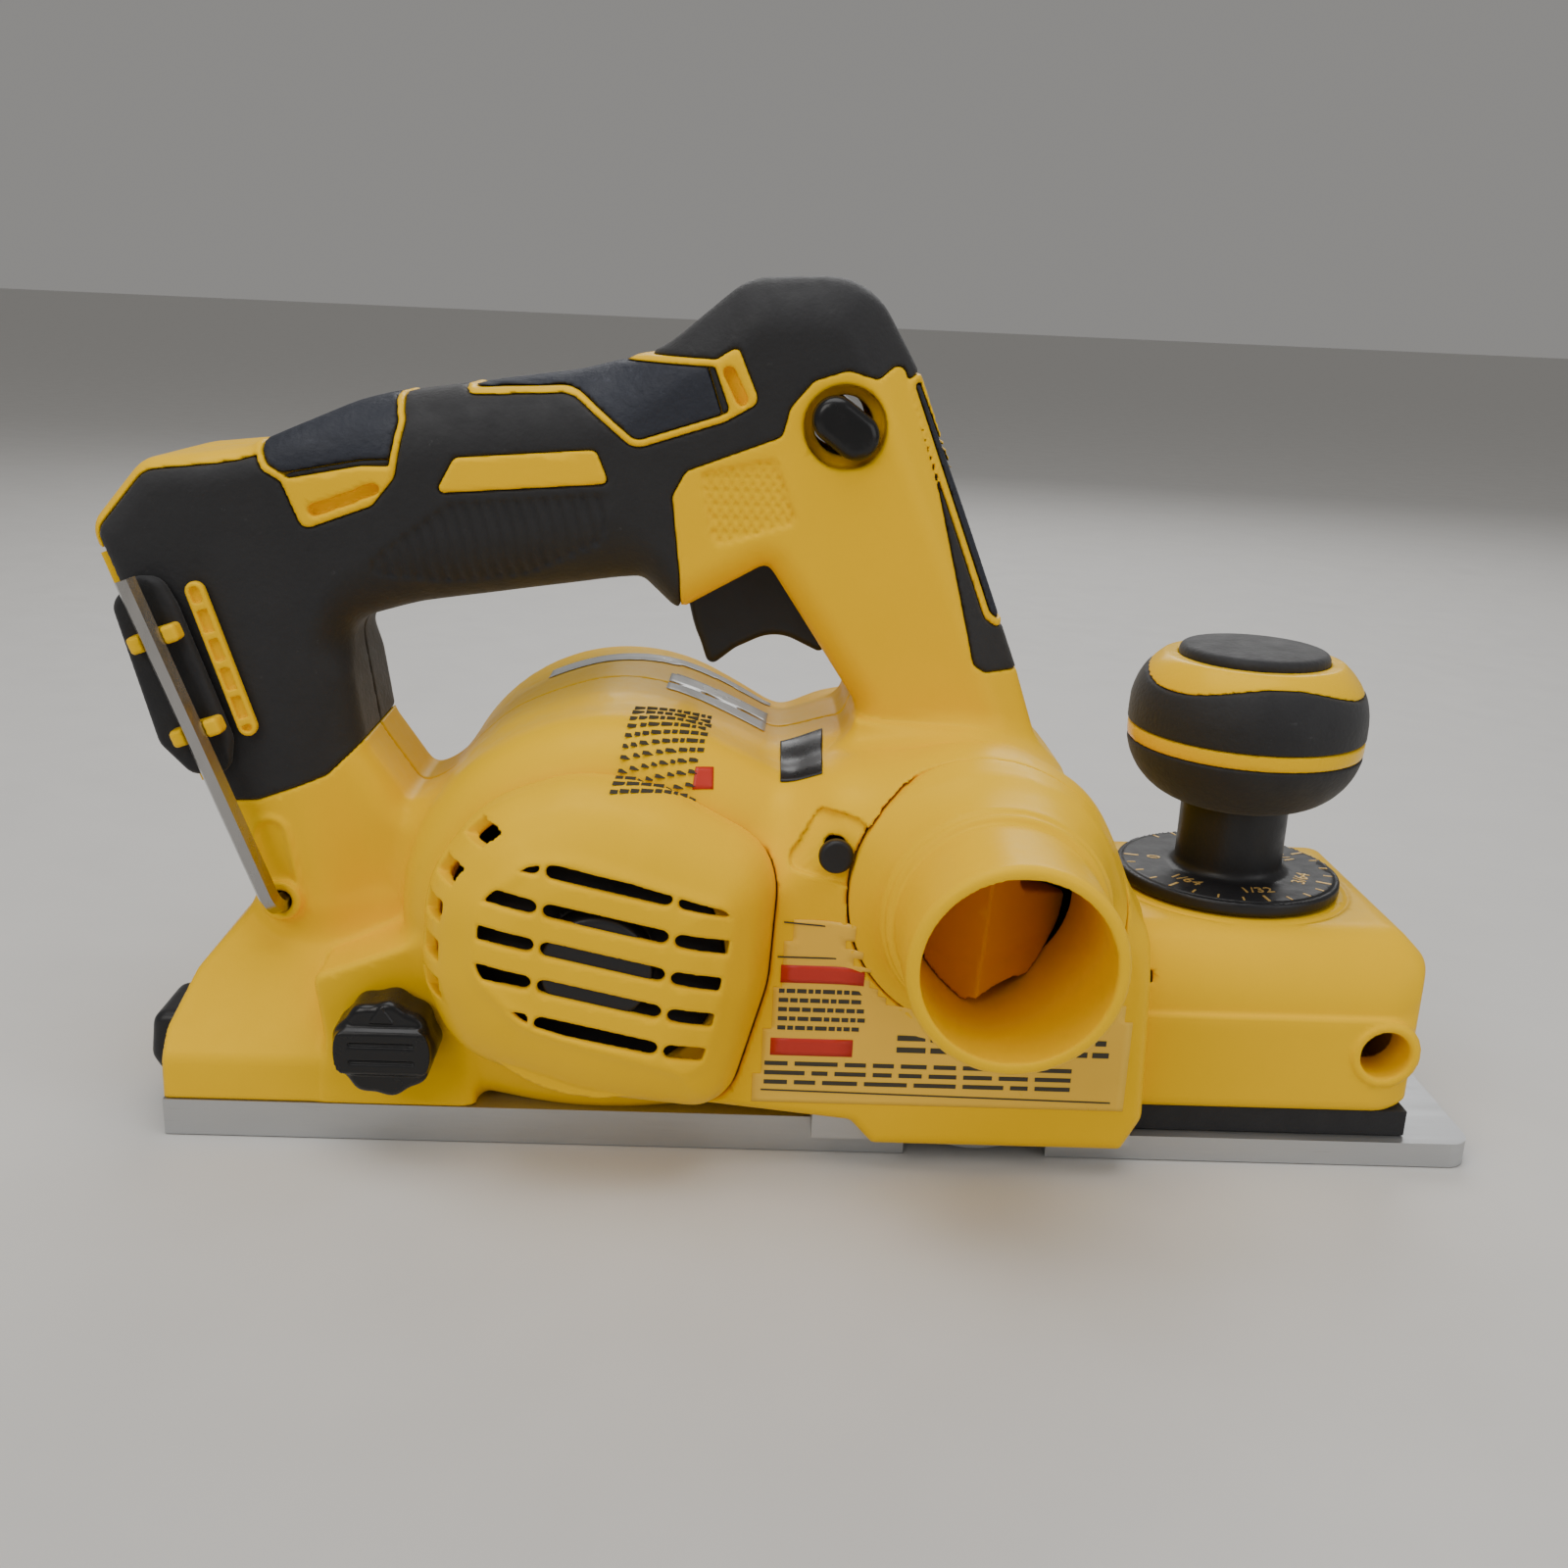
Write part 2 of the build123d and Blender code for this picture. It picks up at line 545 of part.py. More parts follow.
with BuildPart() as motor_cover:
    with BuildSketch(side_plane(-NARROW_BODY)):
        with Locations((MOTOR_X, MOTOR_Z)):
            Circle(35)
    extrude(amount=-COVER_END_Y - NARROW_BODY, taper=9)
    with BuildSketch(side_plane(-NARROW_BODY)):
        with Locations((MOTOR_X, MOTOR_Z)):
            Circle(35 - WALL)
    extrude(amount=-COVER_END_Y - NARROW_BODY - WALL, taper=9, mode=Mode.SUBTRACT)
    # ring that grips the stator, and the socket of the end bearing
    rod(MOTOR_X, MOTOR_Z, (-55, -41), STATOR_RADIUS + 5)
    rod(MOTOR_X, MOTOR_Z, (-56, -40), STATOR_RADIUS, Mode.SUBTRACT)
    rod(MOTOR_X, MOTOR_Z, (-62, -56.5), 11)
    rod(MOTOR_X, MOTOR_Z, (-60.5, -56), 9, Mode.SUBTRACT)
    with BuildSketch(side_plane(-60.8)):
        with Locations((MOTOR_X, MOTOR_Z)):
            for row in range(VENT_ROWS):
                drop = (row - (VENT_ROWS - 1) / 2) * 7.6
                for run in (-15.5, 0, 15.5):
                    if math.hypot(run, drop) > 12:
                        with Locations((run, -drop - run * 0.22)):
                            SlotOverall(12.5, 3, rotation=-12)
    extrude(amount=8, mode=Mode.SUBTRACT)
keep(motor_cover, "motor_cover")

with BuildPart() as chip_chute:
    # fairing that joins the round port to the wide middle of the body
    with BuildSketch(side_plane(-WIDE_BODY)):
        with Locations((PORT_X, PORT_Z)):
            Circle(25.5)
    with BuildSketch(side_plane(-62)):
        with Locations((PORT_X, PORT_Z)):
            Circle(PORT_OUTER_RADIUS + 1.5)
    loft()
    rod(PORT_X, PORT_Z, (PORT_END_Y, -60), PORT_OUTER_RADIUS)
    rod(PORT_X, PORT_Z, (PORT_END_Y + 2, PORT_END_Y + 3.5), PORT_OUTER_RADIUS)
    rod(PORT_X, PORT_Z, (PORT_END_Y - 1, THROAT_Y), PORT_INNER_RADIUS, Mode.SUBTRACT)
    rod(PORT_X, PORT_Z, (THROAT_Y - 1, -WIDE_BODY + 1), THROAT_RADIUS, Mode.SUBTRACT)
keep(chip_chute, "chip_chute")

with BuildPart() as chip_deflector:
    with BuildSketch(Plane.XY.offset(PORT_Z - 17)):
        with BuildLine():
            Polyline(
                (PORT_X - 3.2, -WIDE_BODY - 1), (PORT_X, -WIDE_BODY - 12),
                (PORT_X + 3.2, -WIDE_BODY - 1), close=True,
            )
        make_face()
    extrude(amount=14)
    rod(PORT_X, PORT_Z, (THROAT_Y, -40), THROAT_RADIUS - 0.2, Mode.INTERSECT)
keep(chip_deflector, "chip_deflector")

def duct_outline():
    """Side view of the duct over the drum."""
    with BuildLine() as edge:
        Polyline((12, 44), (12, 79), (40, 79), (56, 58), (56, 44), close=True)
    make_face(edge.edges())


with BuildPart() as chip_duct:
    slab(duct_outline, (-36.6, 36.6))
    slab(duct_outline, (-38, 34.6), 2.0, Mode.SUBTRACT)
    block((10, 60), (-40, 40), (40, 49.5), Mode.SUBTRACT)
keep(chip_duct, "chip_duct")


def front_outline():
    """Side view of the front housing under the depth dial."""
    with BuildLine() as edge:
        Polyline(
            (66.3, 12), (66.3, 52.5), (126, 52.5), (132, 49), (133.2, 42), (133.2, 12),
            close=True,
        )
    make_face(edge.edges())


def front_section(inset):
    """Cross-section of the front housing: upright sides, then sloped shoulders."""
    side = NARROW_BODY - inset
    with BuildLine() as edge:
        Polyline(
            (-side, 12), (-side, 40), (-side + 3, 42), (-29 + inset, 52.5 - inset),
            (29 - inset, 52.5 - inset), (side - 3, 42), (side, 40), (side, 12), close=True,
        )
    make_face(edge.edges())


with BuildPart() as front_housing:
    slab(front_outline, (-NARROW_BODY, NARROW_BODY))
    with BuildSketch(Plane.YZ.offset(60)) as outer_section:
        front_section(0)
    extrude(outer_section.sketch, amount=80, mode=Mode.INTERSECT)
    with BuildSketch(Plane.YZ.offset(66.3 + WALL)) as inner_section:
        front_section(WALL)
    extrude(inner_section.sketch, amount=133.2 - 66.3 - 2 * WALL, mode=Mode.SUBTRACT)
    rod(FENCE_X, FENCE_Z, (-42, -27), 7.4)
    rod(FENCE_X, FENCE_Z, (-44, -29), FENCE_HOLE_RADIUS, Mode.SUBTRACT)
    post(KNOB_X, 0, (44, 60), 7.0, Mode.SUBTRACT)
    block((60, 70), (-28, 28), (12, 44), Mode.SUBTRACT)
    block((60, 70), (-NARROW_BODY + WALL, NARROW_BODY - WALL), (11, 36), Mode.SUBTRACT)
keep(front_housing, "front_housing")

with BuildPart() as front_shoe_seal:
    block((69.5, 131), (-38, 38), (FRONT_SHOE_THICKNESS + 0.3, 12))
    block((72.5, 128), (-35, 35), (0, 20), Mode.SUBTRACT)
keep(front_shoe_seal, "front_shoe_seal")

with BuildPart() as belt_cover:
    slab(belt_side_outline, (WIDE_BODY, 66))
    chamfer(belt_cover.faces().sort_by(Axis.Y)[-1].edges(), 3)
    slab(belt_side_outline, (WIDE_BODY - 1, 66 - WALL), WALL, Mode.SUBTRACT)
    for x, z in BELT_COVER_SCREWS:
        rod(x, z, (WIDE_BODY, 64), 3.6)
        rod(x, z, (WIDE_BODY - 1, 70), 1.6, Mode.SUBTRACT)
        rod(x, z, (64.4, 70), 3.2, Mode.SUBTRACT)
keep(belt_cover, "belt_cover")

# ---------------------------------------------------------------- switch and electrics
with BuildPart() as switch_module:
    block((-30, 1), (-9, 9), (135, 149.5))
    block((-24, -16), (-4, 4), (134.5, 136))
keep(switch_module, "switch_module")

with BuildPart() as trigger:
    with BuildSketch(side_plane(TRIGGER_HALF_WIDTH)):
        with BuildLine():
            face_curve = Spline((-30, 101.5), (-23, 107), (-14, 109.5), (-6, 106))
            Polyline(
                face_curve @ 1, (-2.6, 112), (-5, 122), (-12, 128.8), (-32, 129),
                (-35, 124), (-35.4, 117), (-33.5, 110), face_curve @ 0,
            )
        make_face()
    extrude(amount=2 * TRIGGER_HALF_WIDTH)
    fillet(trigger.edges().filter_by(GeomType.BSPLINE), 2)
    rod(*TRIGGER_PIVOT, (-20, 20), 2 + RUN_CLEARANCE, Mode.SUBTRACT)
keep(trigger, "trigger")

with BuildPart() as trigger_pin:
    rod(*TRIGGER_PIVOT, (-14.5, 14.5), 2)
keep(trigger_pin, "trigger_pin")

with BuildPart() as trigger_spring:
    with BuildLine() as coil:
        Helix(pitch=1.5, height=4.2, radius=2.4, center=(-20, 0, 129.6))
    with BuildSketch(Plane(origin=coil.line @ 0, z_dir=coil.line % 0)):
        Circle(0.3)
    sweep()
keep(trigger_spring, "trigger_spring")

with BuildPart() as lock_off_button:
    rod(*LOCK_OFF, (-25, 21.5), 5.8)
    fillet(lock_off_button.faces().sort_by(Axis.Y)[0].edges(), 1.5)
    rod(*LOCK_OFF, (-12.5, 12.5), 8, Mode.SUBTRACT)
    rod(*LOCK_OFF, (-14, 14), 4)
keep(lock_off_button, "lock_off_button")

with BuildPart() as battery_terminal_block:
    with BuildSketch(rail_plane.offset(-9.0)):
        Rectangle(2 * RAIL_INNER, 44)
    extrude(amount=5.2)
    with BuildSketch(rail_plane.offset(-3.8)):
        with GridLocations(9, 0, 4, 1):
            Rectangle(2.0, 30)
    extrude(amount=-4, mode=Mode.SUBTRACT)
keep(battery_terminal_block, "battery_terminal_block")

with BuildPart() as battery_contacts:
    with BuildSketch(rail_plane.offset(-6.8)):
        with GridLocations(9, 0, 4, 1):
            Rectangle(0.8, 26)
    extrude(amount=5.8)
keep(battery_contacts, "battery_contacts")

with BuildPart() as battery_rails:
    for side in (-1, 1):
        with BuildSketch(rail_plane.offset(-9.0)):
            with Locations((side * (RAIL_INNER + RAIL_OUTER) / 2, 0)):
                Rectangle(RAIL_OUTER - RAIL_INNER, RAIL_LENGTH)
        extrude(amount=8)
        with BuildSketch(rail_plane.offset(-3.5)):
            with Locations((side * (RAIL_OUTER - 3.2), 0)):
                Rectangle(6.4, RAIL_LENGTH)
        extrude(amount=2.5)
keep(battery_rails, "battery_rails")

with BuildPart() as control_board:
    with BuildSketch(rail_plane.offset(-14)):
        Rectangle(36, 40)
    extrude(amount=4.6)
keep(control_board, "control_board")

with BuildPart() as heat_sink:
    with BuildSketch(rail_plane.offset(-17)):
        Rectangle(30, 34)
    extrude(amount=3)
    with BuildSketch(rail_plane.offset(-17)):
        with GridLocations(6, 0, 5, 1):
            Rectangle(1.6, 34)
    extrude(amount=-4)
keep(heat_sink, "heat_sink")

with BuildPart() as wire_harness:
    with BuildLine():
        FilletPolyline((-118, 0, 128), (-96, 0, 136), (-60, 0, 140), (-31, 0, 144), radius=30)
    with BuildSketch(Plane(origin=(-118, 0, 128), z_dir=(22, 0, 8))):
        Circle(3)
    sweep()
keep(wire_harness, "wire_harness")

# ---------------------------------------------------------------- depth knob
KNOB_AXIS = Axis((KNOB_X, 0, 0), (0, 0, 1))
BALL_MIDDLE = (BALL_BOTTOM + BALL_TOP) / 2
BALL_HEIGHT = BALL_TOP - BALL_BOTTOM
GRIP_SKIN = 3.0
LOW_GRIP = (BALL_BOTTOM, 87.5)
MIDDLE_GRIP = (90.5, 103.5)


def ball_half_section(inset, mode=Mode.ADD):
    """Half section of the ball knob, this far inside its surface."""
    with BuildSketch() as ball:
        with Locations((KNOB_X, BALL_MIDDLE)):
            RectangleRounded(2 * (BALL_RADIUS - inset), BALL_HEIGHT - 2 * inset, 16.5 - inset)
        with Locations((KNOB_X - 50, BALL_MIDDLE)):
            Rectangle(100, 100, mode=Mode.SUBTRACT)
    add(ball.sketch, mode=mode)


with BuildPart() as knob_core:
    with BuildSketch(Plane.XZ):
        ball_half_section(0.5)
    revolve(axis=KNOB_AXIS)
    for low, high in (LOW_GRIP, MIDDLE_GRIP):
        post(KNOB_X, 0, (low - 0.01, high), BALL_RADIUS + 5, Mode.SUBTRACT)
    with BuildSketch(Plane.XZ):
        ball_half_section(GRIP_SKIN)
    revolve(axis=KNOB_AXIS)
    post(KNOB_X, 0, (107.2, 120), 17, Mode.SUBTRACT)
    post(KNOB_X, 0, (60, 100), SPINDLE_RADIUS, Mode.SUBTRACT)
    post(KNOB_X, 0, (60, 78), NECK_RADIUS - 2, Mode.SUBTRACT)
keep(knob_core, "knob_core")

with BuildPart() as knob_grip:
    with BuildSketch(Plane.XZ):
        ball_half_section(0)
        ball_half_section(GRIP_SKIN, Mode.SUBTRACT)
        with Locations((KNOB_X, (LOW_GRIP[1] + MIDDLE_GRIP[0]) / 2)):
            Rectangle(200, MIDDLE_GRIP[0] - LOW_GRIP[1], mode=Mode.SUBTRACT)
        with Locations((KNOB_X, MIDDLE_GRIP[1] + 20)):
            Rectangle(200, 40, mode=Mode.SUBTRACT)
    revolve(axis=KNOB_AXIS)
    post(KNOB_X, 0, (60, 78), NECK_RADIUS, Mode.SUBTRACT)
keep(knob_grip, "knob_grip")

with BuildPart() as knob_cap:
    post(KNOB_X, 0, (107.2, BALL_TOP), 17)
    fillet(knob_cap.faces().sort_by(Axis.Z)[-1].edges(), 2)
keep(knob_cap, "knob_cap")

with BuildPart() as depth_dial:
    post(KNOB_X, 0, (DIAL_BOTTOM, DIAL_TOP), DIAL_RADIUS)
    fillet(depth_dial.faces().sort_by(Axis.Z)[-1].edges(), 1.2)
    post(KNOB_X, 0, (DIAL_TOP - 1, BALL_BOTTOM + GRIP_SKIN), NECK_RADIUS)
    post(KNOB_X, 0, (50, 90), SPINDLE_RADIUS, Mode.SUBTRACT)
keep(depth_dial, "depth_dial")

with BuildPart() as knob_spindle:
    post(KNOB_X, 0, (11, 100), SPINDLE_RADIUS)
keep(knob_spindle, "knob_spindle")

# ---------------------------------------------------------------- wrench and its holder
WRENCH_Y = -31.5
WRENCH_RADIUS = 2.0
wrench_top = Vector(-149, WRENCH_Y, 121)
wrench_bottom = Vector(-122.4, WRENCH_Y, 50)
wrench_way = (wrench_bottom - wrench_top).normalized()
holder_middle = wrench_top + wrench_way * 22.7
holder_plane = Plane(
    origin=(holder_middle.X, -REAR_POST_HALF_WIDTH, holder_middle.Z),
    x_dir=(wrench_way.X, 0, wrench_way.Z), z_dir=(0, -1, 0),
)

with BuildPart() as wrench_holder:
    with BuildSketch(holder_plane):
        RectangleRounded(42, 15, 5)
    extrude(amount=3.5)
keep(wrench_holder, "wrench_holder")

with BuildPart() as wrench_clips:
    with BuildSketch(holder_plane.offset(3.5)):
        for along in (-9.5, 11.5):
            for across in (-3.9, 3.9):
                with Locations((along, across)):
                    Rectangle(3.4, 2.6)
    extrude(amount=3)
keep(wrench_clips, "wrench_clips")

with BuildPart() as hex_wrench:
    with BuildLine():
        FilletPolyline(
            wrench_top, wrench_bottom, wrench_bottom + Vector(0, 18, 0), radius=4,
        )
    with BuildSketch(Plane(origin=wrench_top, z_dir=wrench_way)):
        RegularPolygon(WRENCH_RADIUS, 6, major_radius=False)
    sweep()
keep(hex_wrench, "hex_wrench")

# ---------------------------------------------------------------- kickstand and its lock
with BuildPart() as kickstand:
    pivot_x, pivot_z = KICKSTAND_PIVOT
    with BuildSketch(side_plane(KICKSTAND_Y[1])):
        with BuildLine():
            Polyline(
                (pivot_x + 4.6, pivot_z - 3), (pivot_x, pivot_z - 5), (pivot_x - 10, 9.2),
                (-150, 9.2), (-151.6, 12), (-150.6, 22), (-147, 24.5), (pivot_x, pivot_z + 5),
                (pivot_x + 4.6, pivot_z + 3), close=True,
            )
        make_face()
    extrude(amount=KICKSTAND_Y[1] - KICKSTAND_Y[0])
    rod(*KICKSTAND_PIVOT, (-40, 0), 2 + RUN_CLEARANCE, Mode.SUBTRACT)
keep(kickstand, "kickstand")

with BuildPart() as kickstand_pin:
    rod(*KICKSTAND_PIVOT, (-37, -11), 2)
keep(kickstand_pin, "kickstand_pin")

with BuildPart() as kickstand_lock_knob:
    rod(*LOCK_KNOB, (-53, -41.5), 11.2)
    fillet(kickstand_lock_knob.faces().sort_by(Axis.Y)[0].edges(), 1.5)
    rod(*LOCK_KNOB, (-41.6, -32), 4)
    with BuildSketch(side_plane(-32)):
        with Locations((LOCK_KNOB[0] - 2, LOCK_KNOB[1])):
            Ellipse(8, 5)
    extrude(amount=3)
keep(kickstand_lock_knob, "kickstand_lock_knob")

# ---------------------------------------------------------------- fasteners
with BuildPart() as housing_screws:
    for x, z in HOUSING_SCREWS:
        rod(x, z, (13.5, 16), 3.4)
        rod(x, z, (-12, 13.5), 1.8)
        rod(x, z, (14.5, 17), 1.6, Mode.SUBTRACT)
keep(housing_screws, "housing_screws")

with BuildPart() as belt_cover_screws:
    for x, z in BELT_COVER_SCREWS:
        rod(x, z, (46.9, 64.4), 1.6)
        rod(x, z, (64.4, 66), 3.2)
        rod(x, z, (65.2, 67), 1.5, Mode.SUBTRACT)
keep(belt_cover_screws, "belt_cover_screws")

with BuildPart() as vent_plug:
    rod(-2.2, 73, (-51.5, -WIDE_BODY), 3.6)
    fillet(vent_plug.faces().sort_by(Axis.Y)[0].edges(), 1)
keep(vent_plug, "vent_plug")

with BuildPart() as sole_screws:
    for x, y in SOLE_SCREWS:
        post(x, y, (1.2, 5), 3.5)
        post(x, y, (5, REAR_SHOE_THICKNESS), 2.1)
        post(x, y, (0, 3.0), 1.5, Mode.SUBTRACT)
keep(sole_screws, "sole_screws")

print(len(pieces), "pieces")
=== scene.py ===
"""Looks of the cordless hand planer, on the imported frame. Shapes are worked out in mm, in its axes."""

import json
import math

import bpy
import numpy as np
import openvdb as vdb
from mathutils import Matrix, Vector
from mathutils.bvhtree import BVHTree

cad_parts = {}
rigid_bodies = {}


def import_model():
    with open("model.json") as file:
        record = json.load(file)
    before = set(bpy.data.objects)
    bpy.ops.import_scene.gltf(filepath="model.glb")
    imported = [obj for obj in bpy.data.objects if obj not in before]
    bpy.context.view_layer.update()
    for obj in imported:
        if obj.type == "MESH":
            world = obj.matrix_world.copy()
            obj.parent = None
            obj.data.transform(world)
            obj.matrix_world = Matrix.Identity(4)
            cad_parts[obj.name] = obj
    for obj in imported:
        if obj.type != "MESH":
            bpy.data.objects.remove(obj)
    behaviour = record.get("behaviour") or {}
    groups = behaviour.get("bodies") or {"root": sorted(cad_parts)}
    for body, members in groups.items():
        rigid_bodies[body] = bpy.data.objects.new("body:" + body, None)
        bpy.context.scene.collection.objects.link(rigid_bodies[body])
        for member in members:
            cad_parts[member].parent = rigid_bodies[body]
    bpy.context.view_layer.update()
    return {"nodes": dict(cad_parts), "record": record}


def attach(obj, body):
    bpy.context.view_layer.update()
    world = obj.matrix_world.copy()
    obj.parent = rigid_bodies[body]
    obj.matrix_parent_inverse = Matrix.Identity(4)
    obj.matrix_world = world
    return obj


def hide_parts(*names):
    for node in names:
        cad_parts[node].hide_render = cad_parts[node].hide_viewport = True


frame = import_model()

MM = 0.001
VOXEL = 0.72
FINE_VOXEL = 0.5
RIGHT, LEFT = -1, 1

# ---- places and sizes, in mm, that match the CAD model
MOTOR = (-50.0, 51.0)
DRUM = (33.0, 24.0)
PORT = (30.0, 64.5)
LOCK_OFF = (-3.0, 156.5)
LOCK_KNOB = (-95.4, 26.7)
KNOB_X = 95.4
FENCE = (122.9, 26.8)
KICKSTAND_PIVOT = (-128.0, 16.0)
TRIGGER_PIVOT = (-29.0, 125.0)
WRENCH_BOSS = (-122.4, 50.0)
PLUG = (-2.2, 74.0)
BATTERY_MIDDLE = (-149.0, 100.0)
BATTERY_TILT = math.radians(20)
BELT_COVER_SCREWS = ((-67, 40), (-64, 66), (46, 50), (53.5, 16))
PORT_BORE = 18.3
SOLE_TOP = 8.4
GRIP_HALF_WIDTH = 21.0
REAR_POST_HALF_WIDTH = 25.0
NARROW_BODY = 40.0
WIDE_BODY = 49.5
BASE_HALF_WIDTH = 41.0
WALL = 2.6
RUBBER = 2.2
SEAM = 0.04
EDGE = 0.35


# ---- solids as distance fields
def rounded(corners, steps=7):
    """Points of a closed outline: each corner (x, z, radius) is rounded by its own radius."""
    points = []
    count = len(corners)
    for i, (corner_x, corner_z, radius) in enumerate(corners):
        here = np.array((corner_x, corner_z), float)
        to_last = np.array(corners[i - 1][:2], float) - here
        to_next = np.array(corners[(i + 1) % count][:2], float) - here
        last_length, next_length = np.linalg.norm(to_last), np.linalg.norm(to_next)
        u, v = to_last / last_length, to_next / next_length
        half = math.acos(float(np.clip(u @ v, -1, 1))) / 2
        if radius <= 0 or half > math.pi / 2 - 0.01:
            points.append(here)
            continue
        reach = min(radius / math.tan(half), 0.49 * min(last_length, next_length))
        radius = reach * math.tan(half)
        middle = here + (u + v) / np.linalg.norm(u + v) * radius / math.sin(half)
        start, end = here + u * reach - middle, here + v * reach - middle
        first = math.atan2(start[1], start[0])
        turn = (math.atan2(end[1], end[0]) - first + math.pi) % (2 * math.pi) - math.pi
        for k in range(steps + 1):
            angle = first + turn * k / steps
            points.append(middle + radius * np.array((math.cos(angle), math.sin(angle))))
    return points


def corners_of(points, radius):
    """The same radius at every corner."""
    return [(*p, radius) for p in points]


def step(value, low, high):
    """Smooth step from 0 at low to 1 at high."""
    t = np.clip((value - low) / (high - low), 0, 1)
    return t * t * (3 - 2 * t)


def meet(a, b, r):
    """Where both solids are, with the edge between them rounded."""
    u, v = np.maximum(a + r, 0), np.maximum(b + r, 0)
    return np.sqrt(u * u + v * v) + np.minimum(np.maximum(a + r, b + r), 0) - r


def join(a, b, r):
    """Both solids, with a fillet between them."""
    return -meet(-a, -b, r)


def cut(a, b, r):
    """The first solid without the second, with rounded edges."""
    return meet(a, -b, r)


def within(value, low, high):
    """Distance outside the span from low to high."""
    return np.abs(value - (low + high) / 2) - (high - low) / 2


class Space:
    """A box of sample points; s is how far they are from the middle plane, towards one side."""

    def __init__(self, low, high, voxel, side=LEFT):
        self.low, self.voxel, self.side = np.array(low, float), voxel, side
        axes = [np.arange(a, b + voxel, voxel, dtype=np.float32) for a, b in zip(low, high)]
        self.shape = tuple(len(a) for a in axes)
        self.x = axes[0][:, None, None]
        self.s = axes[1][None, :, None]
        self.z = axes[2][None, None, :]

    def outline(self, corners):
        """Distance to a closed outline in X and Z, negative inside."""
        points = rounded(corners)
        x, z = self.x[:, 0, :], self.z[0]
        best = np.full((self.shape[0], self.shape[2]), 1e9, np.float32)
        inside = np.zeros(best.shape, bool)
        for (x0, z0), (x1, z1) in zip(points, points[1:] + points[:1]):
            ex, ez = x1 - x0, z1 - z0
            if ex * ex + ez * ez < 1e-9:
                continue
            wx, wz = x - x0, z - z0
            t = np.clip((wx * ex + wz * ez) / (ex * ex + ez * ez), 0, 1)
            best = np.minimum(best, (wx - t * ex) ** 2 + (wz - t * ez) ** 2)
            if abs(ez) > 1e-9:
                inside ^= ((z0 > z) != (z1 > z)) & (x < ex * wz / ez + x0)
        away = np.sqrt(best)
        return np.where(inside, -away, away).astype(np.float32)[:, None, :]

    def circle(self, centre, radius):
        """A round bar across the planer."""
        return np.hypot(self.x - centre[0], self.z - centre[1]) - radius

    def bar(self, start, end, radius):
        """A round-ended bar between two points in X and Z."""
        ex, ez = end[0] - start[0], end[1] - start[1]
        wx, wz = self.x - start[0], self.z - start[1]
        t = np.clip((wx * ex + wz * ez) / (ex * ex + ez * ez), 0, 1)
        return np.hypot(wx - t * ex, wz - t * ez) - radius

    def box(self, x_span, s_span, z_span):
        """A block between two places along each axis."""
        return meet(meet(within(self.x, *x_span), within(self.z, *z_span), 0), within(self.s, *s_span), 0)

    def sample(self, field, points):
        """The field between its sample points."""
        top = np.array(self.shape) - 1.001
        p = np.clip(points, 0, top)
        i = p.astype(np.int64)
        f = p - i
        total = 0
        for dx in (0, 1):
            for dy in (0, 1):
                for dz in (0, 1):
                    weight = (
                        (f[:, 0] if dx else 1 - f[:, 0])
                        * (f[:, 1] if dy else 1 - f[:, 1])
                        * (f[:, 2] if dz else 1 - f[:, 2])
                    )
                    total = total + weight * field[i[:, 0] + dx, i[:, 1] + dy, i[:, 2] + dz]
        return total

    def mesh(self, name, field, adapt=0.012):
        """The surface of a field as a mesh object, shaded by the field's own slope."""
        field = np.ascontiguousarray(np.broadcast_to(field, self.shape).astype(np.float32))
        for axis in range(3):
            for end in (0, -1):
                index = [slice(None)] * 3
                index[axis] = end
                field[tuple(index)] = np.maximum(field[tuple(index)], 0.3)
        band = 3 * self.voxel
        field = np.clip(field, -band, band)
        grid = vdb.FloatGrid(band)
        grid.copyFromArray(field)
        points, triangles, quads = grid.convertToPolygons(isovalue=0.0, adaptivity=adapt)
        points = np.array(points, float)
        slope = np.stack([
            self.sample(field, points + e) - self.sample(field, points - e)
            for e in np.eye(3) * 0.6
        ], 1)
        slope /= np.maximum(np.linalg.norm(slope, axis=1, keepdims=True), 1e-9)
        places = self.low + points * self.voxel
        places[:, 1] *= self.side
        slope[:, 1] *= self.side
        return mesh_object(name, places, [np.array(triangles), np.array(quads)], slope)


